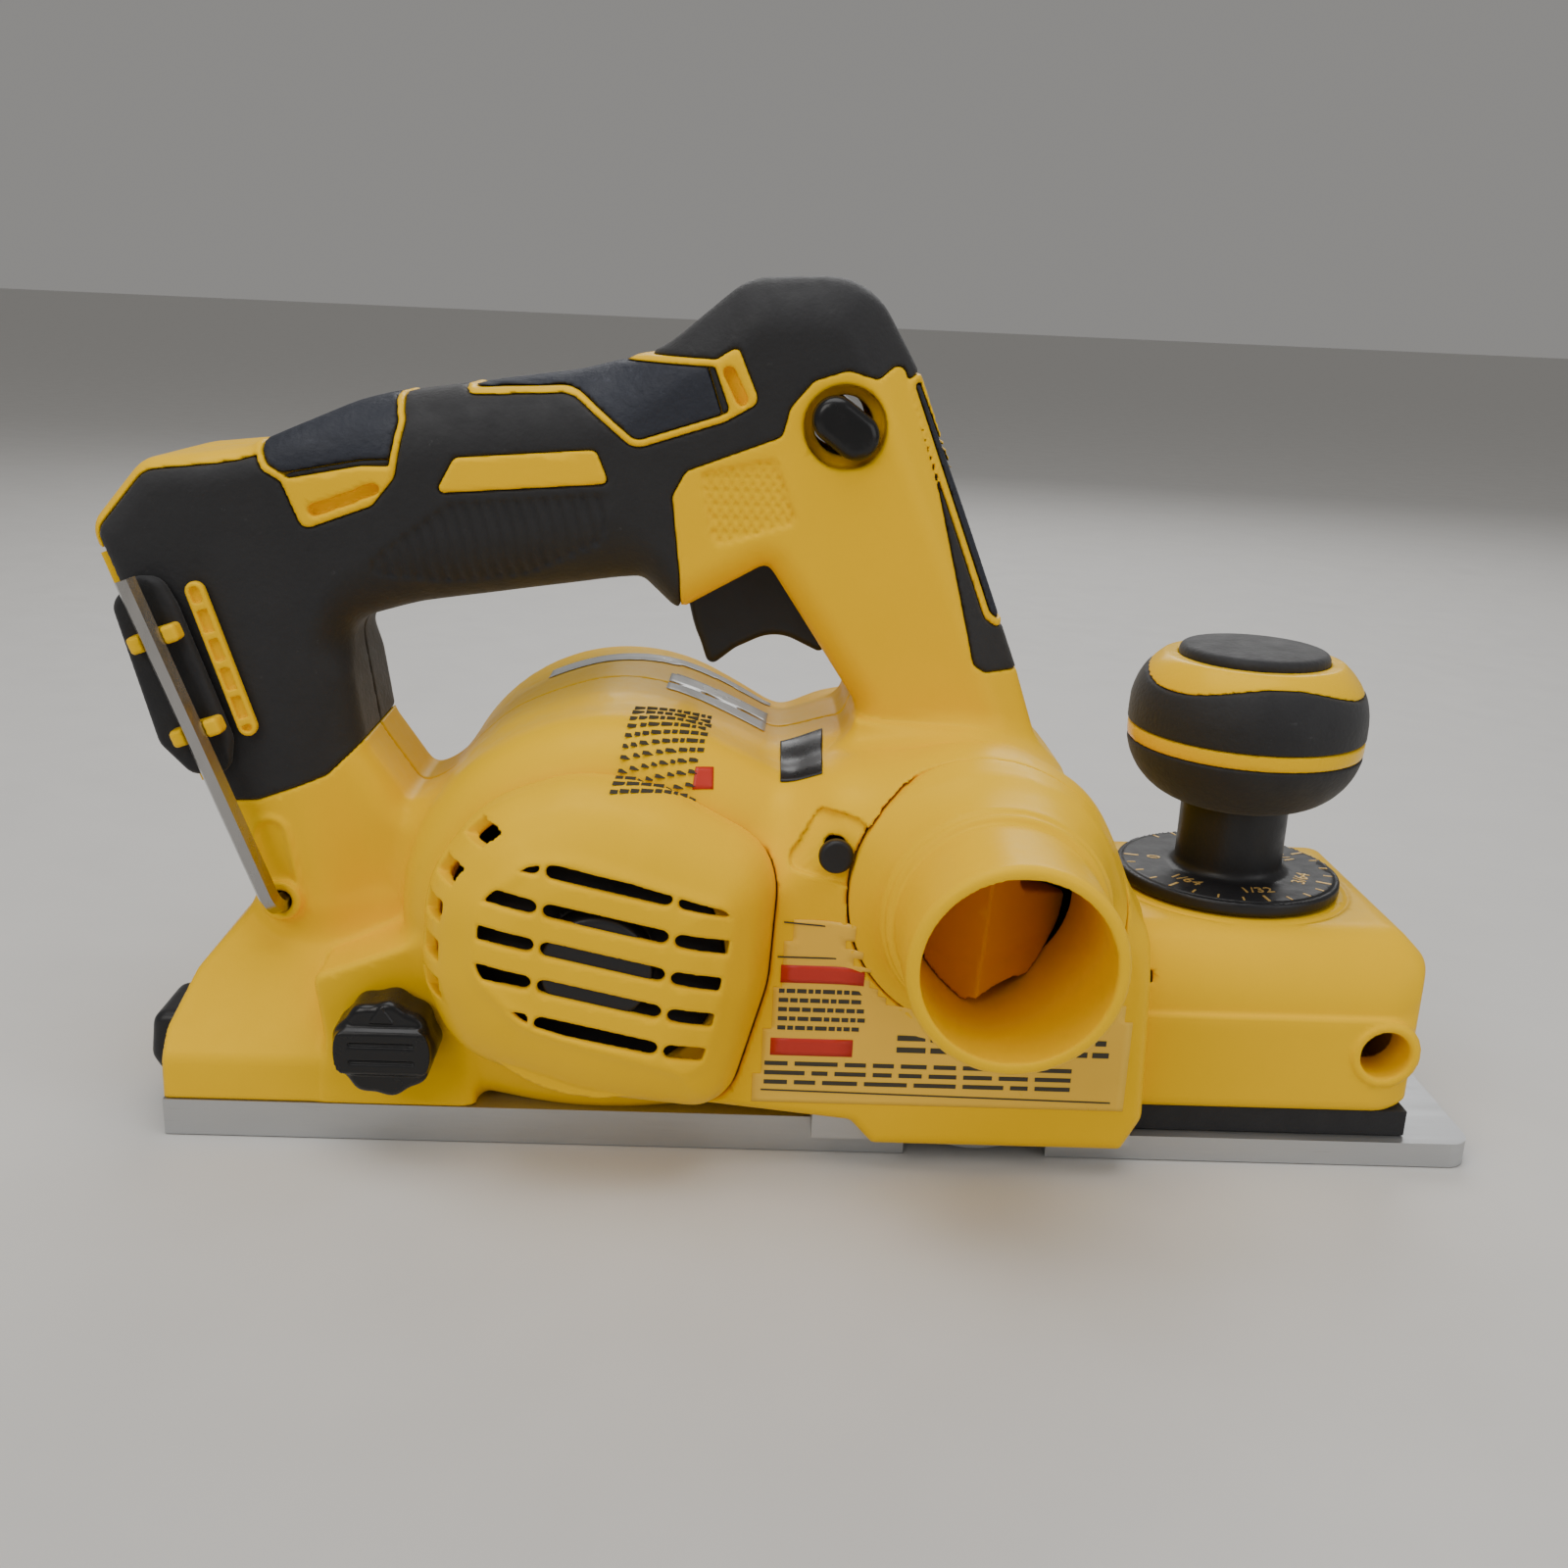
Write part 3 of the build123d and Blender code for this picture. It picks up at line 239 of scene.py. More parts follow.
def mesh_object(name, places, face_groups, normals=None):
    """A mesh from points in mm and faces, wound so that its normals point along the given ones."""
    loops, starts, totals = [], [], []
    at = 0
    for faces in face_groups:
        if len(faces) == 0:
            continue
        faces = np.asarray(faces, np.int64)
        if normals is not None:
            a, b, c = (places[faces[:, k]] for k in range(3))
            facing = np.einsum("ij,ij->i", np.cross(b - a, c - a), normals[faces[:, 0]])
            if np.median(facing) < 0:
                faces = faces[:, ::-1]
        width = faces.shape[1]
        loops.append(faces.ravel())
        starts.append(at + np.arange(len(faces)) * width)
        totals.append(np.full(len(faces), width))
        at += faces.size
    mesh = bpy.data.meshes.new(name)
    mesh.vertices.add(len(places))
    mesh.vertices.foreach_set("co", (np.asarray(places) * MM).astype(np.float32).ravel())
    mesh.loops.add(at)
    mesh.loops.foreach_set("vertex_index", np.concatenate(loops).astype(np.int32))
    mesh.polygons.add(sum(len(s) for s in starts))
    mesh.polygons.foreach_set("loop_start", np.concatenate(starts).astype(np.int32))
    mesh.polygons.foreach_set("loop_total", np.concatenate(totals).astype(np.int32))
    mesh.update(calc_edges=True)
    mesh.validate()
    mesh.polygons.foreach_set("use_smooth", np.ones(len(mesh.polygons), bool))
    if normals is not None:
        mesh.normals_split_custom_set_from_vertices(normals.astype(np.float32))
    obj = bpy.data.objects.new(name, mesh)
    bpy.context.scene.collection.objects.link(obj)
    return obj


def place(obj, body, slot, finish, *nodes):
    """The piece rides on a body, takes a finish, and stands for these CAD nodes."""
    obj.data.materials.clear()
    obj.data.materials.append(finish)
    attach(obj, body)
    if nodes:
        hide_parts(*nodes)


# ---- materials
def material(name, color, rough, metal=0.0, grain=0.4, bump=0.15, mottle=0.06, spread=0.08,
             stretch=(1, 1, 1), sheen=0.0, speck=None, shine=0.32, glint=(1, 1, 1)):
    """A moulded, cast or machined finish: grain is the size of its fine texture in mm."""
    made = bpy.data.materials.new(name)
    made.use_nodes = True
    nodes, links = made.node_tree.nodes, made.node_tree.links
    shader = nodes["Principled BSDF"]
    shader.inputs["Metallic"].default_value = metal
    shader.inputs["Specular IOR Level"].default_value = shine
    shader.inputs["Specular Tint"].default_value = (*glint, 1)
    shader.inputs["Sheen Weight"].default_value = sheen
    where = nodes.new("ShaderNodeTexCoord")
    place_map = nodes.new("ShaderNodeMapping")
    place_map.inputs["Scale"].default_value = stretch
    links.new(where.outputs["Object"], place_map.inputs["Vector"])

    def noise(size, detail, roughness=0.55):
        """Noise whose features are about this many mm wide."""
        made_noise = nodes.new("ShaderNodeTexNoise")
        made_noise.inputs["Scale"].default_value = 1000.0 / size
        made_noise.inputs["Detail"].default_value = detail
        made_noise.inputs["Roughness"].default_value = roughness
        links.new(place_map.outputs["Vector"], made_noise.inputs["Vector"])
        return made_noise.outputs["Fac"]

    fine, broad = noise(grain * 2.2, 4.0), noise(38.0, 3.0)
    ramp = nodes.new("ShaderNodeValToRGB")
    ramp.color_ramp.elements[0].position = 0.25
    ramp.color_ramp.elements[1].position = 0.75
    for element, tone in zip(ramp.color_ramp.elements, (1 - mottle, 1 + mottle)):
        element.color = (*[min(c * tone, 1.0) for c in color], 1)
    links.new(broad, ramp.inputs["Fac"])
    tint = ramp.outputs["Color"]
    if speck:
        speck_color, low, high = speck
        mask = nodes.new("ShaderNodeMapRange")
        mask.inputs["From Min"].default_value = low
        mask.inputs["From Max"].default_value = high
        links.new(noise(grain * 5, 5.0, 0.7), mask.inputs["Value"])
        mixed = nodes.new("ShaderNodeMix")
        mixed.data_type = "RGBA"
        links.new(mask.outputs["Result"], mixed.inputs["Factor"])
        links.new(tint, mixed.inputs["A"])
        mixed.inputs["B"].default_value = (*speck_color, 1)
        tint = mixed.outputs["Result"]
    links.new(tint, shader.inputs["Base Color"])
    gloss = nodes.new("ShaderNodeMapRange")
    gloss.inputs["From Min"].default_value = 0.3
    gloss.inputs["From Max"].default_value = 0.7
    gloss.inputs["To Min"].default_value = max(rough - spread, 0.03)
    gloss.inputs["To Max"].default_value = min(rough + spread, 1.0)
    links.new(noise(grain * 9, 5.0), gloss.inputs["Value"])
    links.new(gloss.outputs["Result"], shader.inputs["Roughness"])
    relief = nodes.new("ShaderNodeBump")
    relief.inputs["Strength"].default_value = bump
    relief.inputs["Distance"].default_value = grain * 0.5 * MM
    links.new(fine, relief.inputs["Height"])
    links.new(relief.outputs["Normal"], shader.inputs["Normal"])
    return made


YELLOW = (0.94, 0.55, 0.0)
WARM = (1.0, 0.72, 0.12)
yellow = material("yellow_plastic", YELLOW, 0.38, grain=0.35, bump=0.14, mottle=0.03, shine=0.26, glint=WARM)
yellow_smooth = material("yellow_polished", (0.93, 0.55, 0.0), 0.26, grain=0.6, bump=0.05, mottle=0.02,
                         shine=0.28, glint=WARM)
# painted shade: the deflector is the same yellow plastic, given a darker, more orange tone that stands in for
# the shade inside the port
yellow_with_painted_shade = material("amber_inside", (0.88, 0.41, 0.0), 0.36, grain=0.5, bump=0.08, shine=0.26, glint=WARM)
rubber = material("black_rubber", (0.018, 0.018, 0.020), 0.66, grain=0.55, bump=0.55, mottle=0.12, sheen=0.12,
                  speck=((0.05, 0.05, 0.052), 0.66, 0.80))
inlay = material("blue_black_inlay", (0.022, 0.025, 0.036), 0.60, grain=0.9, bump=0.85, mottle=0.10,
                 speck=((0.05, 0.055, 0.075), 0.60, 0.78))
black = material("black_plastic", (0.016, 0.016, 0.018), 0.40, grain=0.4, bump=0.22, mottle=0.1)
gloss_black = material("black_gloss", (0.012, 0.012, 0.013), 0.24, grain=0.8, bump=0.06, mottle=0.1)
sole = material("satin_aluminium", (0.50, 0.51, 0.52), 0.42, metal=0.9, grain=0.35, bump=0.22, mottle=0.05,
                stretch=(0.08, 1, 1), speck=((0.38, 0.39, 0.40), 0.62, 0.8))
cast = material("cast_aluminium", (0.42, 0.43, 0.44), 0.52, metal=0.9, grain=0.9, bump=0.6, mottle=0.1)
steel = material("steel", (0.40, 0.40, 0.41), 0.34, metal=1.0, grain=0.3, bump=0.15, mottle=0.08)
bright_steel = material("bright_steel", (0.36, 0.35, 0.34), 0.24, metal=1.0, grain=0.3, bump=0.08,
                        stretch=(1, 1, 0.1))
carbide = material("carbide", (0.30, 0.30, 0.32), 0.26, metal=1.0, grain=0.3, bump=0.08)
copper = material("copper_wire", (0.72, 0.30, 0.12), 0.34, metal=1.0, grain=0.5, bump=0.6, stretch=(1, 6, 1))
brass = material("brass", (0.74, 0.52, 0.20), 0.30, metal=1.0, grain=0.3, bump=0.1)
belt = material("belt_rubber", (0.014, 0.014, 0.014), 0.75, grain=0.5, bump=0.5, stretch=(1, 3, 1))
board = material("circuit_board", (0.01, 0.10, 0.03), 0.35, grain=1.5, bump=0.3,
                 speck=((0.25, 0.20, 0.06), 0.58, 0.62))
wire = material("wire_insulation", (0.16, 0.012, 0.01), 0.45, grain=0.6, bump=0.1)
gold = material("gold_print", (0.80, 0.52, 0.16), 0.38, metal=0.5, grain=0.3, bump=0.05)
label_yellow = material("label_yellow", (0.90, 0.55, 0.05), 0.34, grain=0.7, bump=0.06)
label_silver = material("label_film", (0.60, 0.61, 0.60), 0.22, metal=0.3, grain=1.2, bump=0.1)
label_dark = material("label_dark", (0.02, 0.02, 0.022), 0.3, grain=0.7, bump=0.06)
label_red = material("label_red", (0.55, 0.035, 0.02), 0.36, grain=0.7, bump=0.06)
print_dark = material("print_dark", (0.05, 0.045, 0.03), 0.45, grain=0.4, bump=0.05)

FINISH = {
    "yellow_housing": yellow, "black_rubber": rubber, "black_plastic": black, "sole_aluminium": sole,
    "cast_aluminium": cast, "steel": steel, "bright_steel": bright_steel, "carbide": carbide,
    "copper": copper, "brass_parts": brass, "belt_rubber": belt, "board": board, "wire": wire,
    "yellow_trim": yellow_smooth,
}
for part in frame["record"]["subparts"]:
    node = frame["nodes"][part["node"]]
    node.data.materials.clear()
    node.data.materials.append(FINISH[part["material_slot"]])

# ---- outlines of the handle, in X and Z
HANDLE = (
    (-126, 44, 5), (-138.5, 71, 20), (-160, 130, 6), (-148, 144.5, 8),
    (-128, 147, 20), (-104, 158, 30), (-60, 165, 30), (-42, 170, 25),
    (-24, 185.5, 14), (1, 187, 15), (12.5, 168, 22), (38, 106, 30),
    (45, 86, 20), (57, 67, 8), (57, 50, 3), (-20, 50, 3), (-118, 42, 3),
)
FINGER_GAP = (
    (-86, 71, 5), (-73, 86, 12), (-50, 96.5, 20), (-15, 85, 8), (3, 90, 3),
    (2.5, 97, 5), (-18, 127, 2), (-37, 116, 3), (-45, 122.3, 3),
    (-93, 114.5, 15), (-109, 110, 6), (-105, 84, 8), (-96, 71, 4),
)
REAR_POST = corners_of((
    (-122, 30), (-138.5, 71), (-162, 132), (-158, 140), (-148, 150), (-134, 150),
    (-119, 100), (-112, 60), (-108, 40),
), 4)
RUBBER_FIELD = corners_of((
    (-170, 78), (-146.3, 74.5), (-140.9, 71.6), (-126.7, 72.6), (-112.3, 78), (-99.2, 90.6),
    (-90, 104), (-60, 110), (-47, 114), (-36.2, 115), (-36.6, 124), (-38.6, 141), (-35.8, 146.3),
    (-16, 154.1), (-14.6, 160), (-10, 165.6), (-3, 168), (3.4, 166.2), (8.4, 170.6),
    (18, 143), (27.4, 107.4), (30, 105.6), (60, 105.6), (40, 200), (-170, 200),
), 2)
REAR_LINE = (
    (-128, 152, 0), (-123.5, 143, 2), (-119.6, 140.8, 1), (-115.5, 130.9, 2),
    (-101, 136.5, 2), (-96.2, 142.5, 3), (-94.2, 153.8, 3), (-97, 163, 0),
)
REAR_BLOCK = (
    (-119.6, 141.2, 1), (-115.5, 130.9, 2), (-101, 136.5, 2), (-96.2, 142.5, 3),
    (-96.6, 144.8, 1), (-103, 144.6, 1),
)
REAR_INLAY = (
    (-128, 152, 0), (-124.3, 144, 3), (-119.6, 142.4, 1), (-103, 145.8, 1),
    (-97, 146.2, 1), (-95.4, 153.8, 3), (-98, 163, 0), (-110, 175, 0), (-130, 175, 0),
)
TOP_LINE = (
    (-83.4, 170, 0), (-83.2, 161.5, 1), (-81.5, 159.4, 2), (-60, 160.9, 6), (-46.6, 150.3, 4),
    (-28, 156.6, 2), (-20.9, 160.8, 2), (-25.8, 171.9, 1), (-29.6, 169, 0),
)
TOP_BLOCK = (
    (-30.8, 168.6, 2), (-26.8, 158.2, 1), (-20.9, 160.8, 2), (-25.8, 171.9, 2),
)
TOP_INLAY = (
    (-83.4, 180, 0), (-83.2, 161.5, 1), (-81.5, 159.4, 2), (-60, 160.9, 6), (-46.6, 150.3, 4),
    (-28, 156.6, 1), (-31.6, 167, 1), (-33, 173, 1), (-33, 190, 0),
)
PLATE = (
    (-87.9, 139.6, 1), (-83.8, 147.1, 1.5), (-54.5, 149.9, 1.5), (-51.7, 143, 1),
)
RIB_FIELD = (
    (-107.3, 121.5, 3), (-85.3, 138.2, 2), (-50.9, 141.6, 2), (-52, 130.5, 4), (-69.3, 122.2, 5),
    (-84, 120, 5),
)
HATCH_PANEL = (
    (-33.1, 146.4, 2), (-16.9, 150.1, 2), (-11.6, 136.1, 2), (-29.9, 130.2, 2),
)
STRIP_INLAY = (
    (9.5, 166, 1), (13.2, 168.6, 1), (36.2, 117, 2), (32.8, 114.6, 2), (29.6, 117, 2),
)
BODY = (
    (-88, SOLE_TOP, 1), (-88, 66, 20), (-48.8, 97, 30), (-15, 84.2, 12), (8, 88, 4), (44, 86, 14),
    (65.8, 56, 8), (65.8, 12, 1), (-4, 12, 1), (-4, SOLE_TOP, 0.5),
)
BASE = (
    (-145.9, SOLE_TOP, 0.5), (-145.7, 23, 5), (-141, 34, 6), (-131, 46, 6), (-126, 50, 3),
    (-112, 50, 3), (-84, 52, 3), (-80, SOLE_TOP, 0.5),
)
SIDE_PANEL = (
    (-112, SOLE_TOP, 0.5), (-110.5, 24, 2), (-112.5, 38.5, 3), (-89.4, 47.5, 3), (-78, 47.5, 2),
    (-78, SOLE_TOP, 0.5),
)
WIDE = (
    (-30, 15, 2), (-29, 60, 6), (-17, 73, 10), (-4, 86, 12), (30, 94, 30), (50, 82, 18),
    (66, 56, 12), (68, 14, 4), (64, 6, 1.5), (9, 6, 1.5), (4, 11.5, 2),
)
POST_FOOT = ((-1, 80, 1), (2.2, 95, 1), (42, 91.5, 2), (50, 78, 3), (44, 70, 1), (0, 70, 1))
BULGE = (
    (-87.5, 44, 22), (-85.8, 66, 24), (-74, 81.5, 26), (-54, 88.5, 30), (-36, 84.5, 30),
    (-13.5, 72.5, 15), (-15, 44, 30), (-23, 14.5, 10), (-54, 17.5, 26), (-81, 27, 26),
)
GRILLE = (
    (-75, 50, 6), (-74, 65, 7), (-64, 73.5, 6), (-54, 74.4, 8), (-21.4, 64.4, 5),
    (-26, 36, 20), (-28.4, 27.4, 4), (-64.5, 38.5, 12),
)
PLUG_RECESS = ((-12.8, 69.6, 2), (-5.5, 81.5, 3), (6.5, 80, 6), (4.4, 66, 3))
TRIGGER_WELL = ((-39.5, 2.5), (-20, 9.3), (98.6, 133.5))
# round-ended bars sunk into the two yellow blocks of the grip
BLOCK_BARS = (
    ((-113, 135.2), (-109.6, 136.4)), ((-108.2, 137), (-104.8, 138.2)),
    ((-103.4, 139), (-100.6, 140)), ((-27.4, 166.6), (-24.6, 161.2)),
)


# ---- shapes that the pieces share
def wide_solid(space):
    """The wide middle of the body, with an edge that grows rounder upwards."""
    return meet(space.outline(WIDE), space.s - WIDE_BODY, 3.0 + 10.0 * step(space.z, 44, 74))


def port_cone(space):
    """The cone that the chip port stands on."""
    return space.circle(PORT, 26.5) + 0.28 * np.maximum(space.s - WIDE_BODY, 0)


def handle_solid(space):
    """The D handle: rear post, round grip, nose and front post."""
    x, s, z = space.x, space.s, space.z
    side_view = np.maximum(space.outline(HANDLE), -space.outline(FINGER_GAP))
    rear = step(-space.outline(REAR_POST), -9, 5)
    grip = step(x, -122, -98) * step(-x, 34, 52) * step(z, 98, 108)
    nose = step(-np.hypot(x + 14, z - 170), -34, -12)
    half = GRIP_HALF_WIDTH + (REAR_POST_HALF_WIDTH - GRIP_HALF_WIDTH) * rear
    edge = 7.0 + 8.0 * grip * (1 - rear) + 5.0 * nose
    solid = meet(side_view, s - half, edge)
    # a crisp foot where the front post stands on the body
    solid = np.minimum(solid, meet(space.outline(POST_FOOT), s - 23.0, 2.0))
    # sloped corners down the front post
    front = (x - 38) * 0.915 + (z - 106.3) * 0.402
    corner = ((s - GRIP_HALF_WIDTH) + 0.8 * (front + 8.5)) / 1.28
    return meet(solid, corner + 30 * step(-z, -84, -70), 1.5)


def body_solid(space, side):
    """The body and base under the handle, on one side."""
    s, z = space.s, space.z
    barrel_half, barrel_edge = (NARROW_BODY + 4, 15.0) if side == RIGHT else (WIDE_BODY, 9.0)
    barrel = meet(space.circle(MOTOR, 44.6), s - barrel_half, barrel_edge)
    middle = meet(space.outline(BODY), s - NARROW_BODY, 11)
    base = meet(space.outline(BASE), (s - BASE_HALF_WIDTH + 0.75 * (z - 18.5)) / 1.25, 1.2)
    base = meet(base, s - BASE_HALF_WIDTH, 1.0)
    panel = meet(space.outline(SIDE_PANEL), s - BASE_HALF_WIDTH, 1.5)
    solid = join(np.maximum(barrel, SOLE_TOP - z), middle, 8)
    solid = join(solid, wide_solid(space), 6)
    return join(solid, join(base, panel, 1.0), 3)


def battery_opening(space):
    """The recess in the rear of the rear post where the battery slides on."""
    x, z = space.x - BATTERY_MIDDLE[0], space.z - BATTERY_MIDDLE[1]
    out = -x * math.cos(BATTERY_TILT) - z * math.sin(BATTERY_TILT)
    along = -x * math.sin(BATTERY_TILT) + z * math.cos(BATTERY_TILT)
    return np.maximum(np.maximum(space.s - 22.4, np.abs(along) - 27.0), -12.0 - out)


def skin_regions(space):
    """In X and Z: all that is cut into the yellow, the rubber field, the inlays, and the yellow lines."""
    rubber_field = space.outline(RUBBER_FIELD)
    # the yellow rim along the back of the rear post stays clear of it
    rear_edge = np.where(space.x < -124, space.outline(HANDLE) + 2.4, -50)
    rubber_field = np.maximum(rubber_field, rear_edge)
    lines = [
        (space.outline(c), half) for c, half in ((REAR_LINE, 0.75), (TOP_LINE, 0.75), (STRIP_INLAY, 0.8))
    ]
    trims = np.minimum.reduce(
        [np.abs(line + half) - half for line, half in lines]
        + [space.outline(c) for c in (REAR_BLOCK, TOP_BLOCK, PLATE)]
    )
    # an inlay fills its own outline, inside the line around it
    inlays = np.minimum.reduce([
        np.maximum(space.outline(c), line + 2 * half)
        for c, (line, half) in zip((REAR_INLAY, TOP_INLAY, STRIP_INLAY), lines)
    ])
    return rubber_field, trims, np.maximum(inlays, -trims)


def handle_relief(space):
    """How far the surface of the rubber is lowered: grip ribs in a shallow field."""
    field = space.outline(RIB_FIELD)
    across = (space.x + 80) * 0.97 + (space.z - 130) * 0.24
    ribs = 0.5 + 0.5 * np.cos(across * 2 * math.pi / 2.75)
    return step(-field, 0, 1.2) * (0.15 + 0.75 * ribs)


def side_details(space, solid, side):
    """Recesses on both sides, and the raised lines of the right side."""
    x, s, z = space.x, space.s, space.z
    # hatched panel on the front post
    hatch = space.outline(HATCH_PANEL)
    weave = np.maximum(np.cos((x * 0.80 + z * 0.60) * 3.6), np.cos((x * 0.80 - z * 0.60) * 3.6))
    sunk = step(-hatch, 0, 0.9) * (1.0 - 0.65 * np.maximum(weave, 0))
    solid = solid + np.where(s > 14, sunk, 0)
    # recess around the lock-off button
    solid = cut(solid, np.maximum(space.circle(LOCK_OFF, 8.6), 14.2 - s), 0.9)
    if side == RIGHT:
        # raised outline and boss on the lower rear post
        ring = np.abs(space.bar((-124.2, 65), (-121.6, 49), 3.6)) - 0.7
        solid = solid - 0.7 * step(-ring, -0.5, 0.4) * (s > 20)
        boss = np.maximum(space.circle(WRENCH_BOSS, 4.6), s - 27.2)
        solid = join(solid, np.maximum(boss, 20 - s), 0.8)
    return solid


# ---- housing, rubber and inlays on both sides
def housing_side(side):
    """The yellow shell, the rubber skin and the inlays of one half."""
    word = "right" if side == RIGHT else "left"
    space = Space((-163, -1.4, 4.5), (70, 51.5, 189.5), VOXEL, side)
    s = space.s
    solid = join(handle_solid(space), body_solid(space, side), 6)
    solid = side_details(space, solid, side)
    if side == RIGHT:
        solid = join(solid, np.maximum(port_cone(space), 38 - s), 9)
    rubber_field, trims, inlays = skin_regions(space)
    recess = np.maximum(rubber_field, -trims)
    core = solid + RUBBER + 2 * SEAM
    proud = solid - 0.25 * step(-trims, -0.2, 0.4)
    shell = np.minimum(meet(proud, -recess, EDGE), core)
    inner = solid + WALL + 2.3 * step(-rubber_field, -1, 1)
    shell = np.maximum(shell, -inner)
    for ends in BLOCK_BARS:
        shell = np.maximum(shell, -np.maximum(space.bar(*ends, 1.25), 18.6 - s))
    ways_in = [
        space.box(*TRIGGER_WELL), space.circle(LOCK_OFF, 6.3), battery_opening(space),
        space.box((-4.3, 65.6), (-5, 47.0), (-1, 46.2)),
    ]
    if side == RIGHT:
        # the slot of the kickstand, then round openings, then room for the motor cover
        ways_in.append(space.box((-150, -121.8), (12.4, 33.6), (2, 26)))
        ways_in += [np.maximum(space.circle(middle, radius), depth - s) for middle, radius, depth in (
            (LOCK_KNOB, 4.3, 30), (MOTOR, 33.5, 36), (PORT, PORT_BORE, 30), (WRENCH_BOSS, 2.5, 12),
            (PORT, 29.6, 44.2),
        )]
        ways_in.append(np.maximum(space.outline(BULGE) - 0.2, 43.9 - s))
    else:
        ways_in.append(np.maximum(space.circle(DRUM, 17.8), 43 - s))
        ways_in.append(np.maximum(space.circle(MOTOR, 5.2), 38 - s))
    for hollow in ways_in:
        shell = np.maximum(shell, -hollow)
    if side == RIGHT:
        shell = cut(shell, np.maximum(space.outline(PLUG_RECESS), -(solid + 1.4)), 0.5)
        shell = np.maximum(shell, -np.maximum(space.circle(PLUG, 2.4), 30 - s))
    skin_face = solid + np.where(s > 8, handle_relief(space), 0)
    rubber_skin = meet(
        np.maximum(skin_face, -(solid + RUBBER)),
        np.maximum(rubber_field, -np.minimum(trims, inlays)) + 3 * SEAM, 0.45,
    )
    for hollow in (space.circle(LOCK_OFF, 9.2), space.box(*TRIGGER_WELL), battery_opening(space)):
        rubber_skin = np.maximum(rubber_skin, -hollow)
    inlay_skin = meet(
        np.maximum(solid, -(solid + RUBBER)), np.maximum(inlays, rubber_field) + 3 * SEAM, 0.45,
    )
    for name, field, slot, finish, nodes in (
        (f"housing_{word}_shell", shell, "yellow_housing", yellow, [f"housing_{word}"]),
        (f"grip_rubber_{word}_skin", rubber_skin, "black_rubber", rubber, [f"grip_rubber_{word}"]),
        (f"grip_inlays_{word}", inlay_skin, "black_rubber", inlay, []),
    ):
        half = meet(field, SEAM - s, EDGE)
        place(space.mesh(name, half), "planer_body", slot, finish, *nodes)


housing_side(RIGHT)
housing_side(LEFT)


# ---- motor cover with its louvres
def motor_cover():
    """The bulging cover over the end of the motor."""
    space = Space((-90.5, 38, 9.5), (-8, 66.2, 92), FINE_VOXEL + 0.06, RIGHT)
    s = space.s
    grille = space.outline(GRILLE)
    lean = np.clip((s - 47.5) / 16.5, 0, 1.3)
    flank = (space.outline(BULGE) + 11.0 * lean ** 1.7) * 0.84
    rim = np.exp(-((grille + 0.6) / 1.7) ** 2)
    face = s - (63.1 + 0.85 * rim)
    solid = meet(flank, face, 8.0)
    shell = np.maximum(solid, -(solid + WALL))
    # six tilted rows of a short, a long and a medium slot
    tilt = math.tan(math.radians(12))
    slots = []
    for row in range(6):
        middle, shift = 69.6 - row * 8.1, -0.6 * row
        for span in ((-72, -62.6), (-58.4, -36.4), (-32.2, -22.6)):
            ends = [(px + shift, middle - (px + 48) * tilt) for px in span]
            slots.append(space.bar(*ends, 1.5))
    louvres = np.maximum(np.minimum.reduce(slots), grille + 0.9)
    shell = cut(shell, np.maximum(louvres, 50 - s), 0.9)
    # small slots around the rear curve
    for px, pz in ((-76.4, 77.4), (-81.4, 69), (-84.2, 61), (-85.4, 52.6), (-85.0, 44.4)):
        notch = space.bar((px - 1.5, pz + 0.4), (px + 5.5, pz - 1.0), 2.1)
        shell = np.maximum(shell, -np.maximum(notch, within(s, 50.1, 56.9)))
    shell = meet(shell, 44.1 - s, 0.5)
    ring = np.maximum(np.abs(space.circle(MOTOR, 28.5)) - 2.5, within(s, 44.5, 57))
    shell = np.minimum(shell, ring)
    place(space.mesh("motor_cover_shell", shell), "planer_body", "yellow_housing", yellow, "motor_cover")


motor_cover()


# ---- chip chute around the port
def chip_chute():
    """The chute with its round port."""
    space = Space((-2, 43, 32), (63, 89, 98), FINE_VOXEL + 0.06, RIGHT)
    s, away = space.s, space.circle(PORT, 0)
    solid = join(wide_solid(space), np.maximum(port_cone(space), s - 61), 9)
    tube = meet(away - 21.0, s - 88.0, 1.6)
    collar = meet(away - 22.6, s - 63.5, 1.0)
    solid = join(solid, collar, 1.5)
    solid = join(solid, tube, 1.2)
    solid = np.maximum(solid, away - 29.2)
    shell = cut(np.maximum(solid, 43.8 - s), np.maximum(away - PORT_BORE, -1.0), 0.5)
    place(space.mesh("chip_chute_shell", shell), "planer_body", "yellow_housing", yellow, "chip_chute")


def chip_deflector():
    """Two slanted faces that meet in a ridge inside the port, with the duct beside them."""
    space = Space((9, 30, 43), (51, 64, 86), FINE_VOXEL + 0.1, RIGHT)
    x, s, z = space.x, space.s, space.z
    ridge = 28.5 + 0.12 * (z - PORT[1])
    fold = s - 61.5 + 1.05 * np.abs(x - ridge) + 0.30 * np.maximum(z - 56, 0) - 0.5 * np.maximum(54 - z, 0)
    duct = space.outline(((36, 67, 3), (52, 61, 2), (52, 86, 2), (37, 86, 3)))
    block = np.maximum.reduce(np.broadcast_arrays(
        space.circle(PORT, PORT_BORE - 0.2), fold * 0.68, -np.maximum(duct, 34 - s), 36.8 - s,
        -space.circle(DRUM, 25.2),
    ))
    # the fold takes the yellow darkened with painted shade for the inside of the port
    place(space.mesh("chip_deflector_fold", block), "planer_body", "yellow_trim", yellow_with_painted_shade, "chip_deflector")


chip_chute()
chip_deflector()


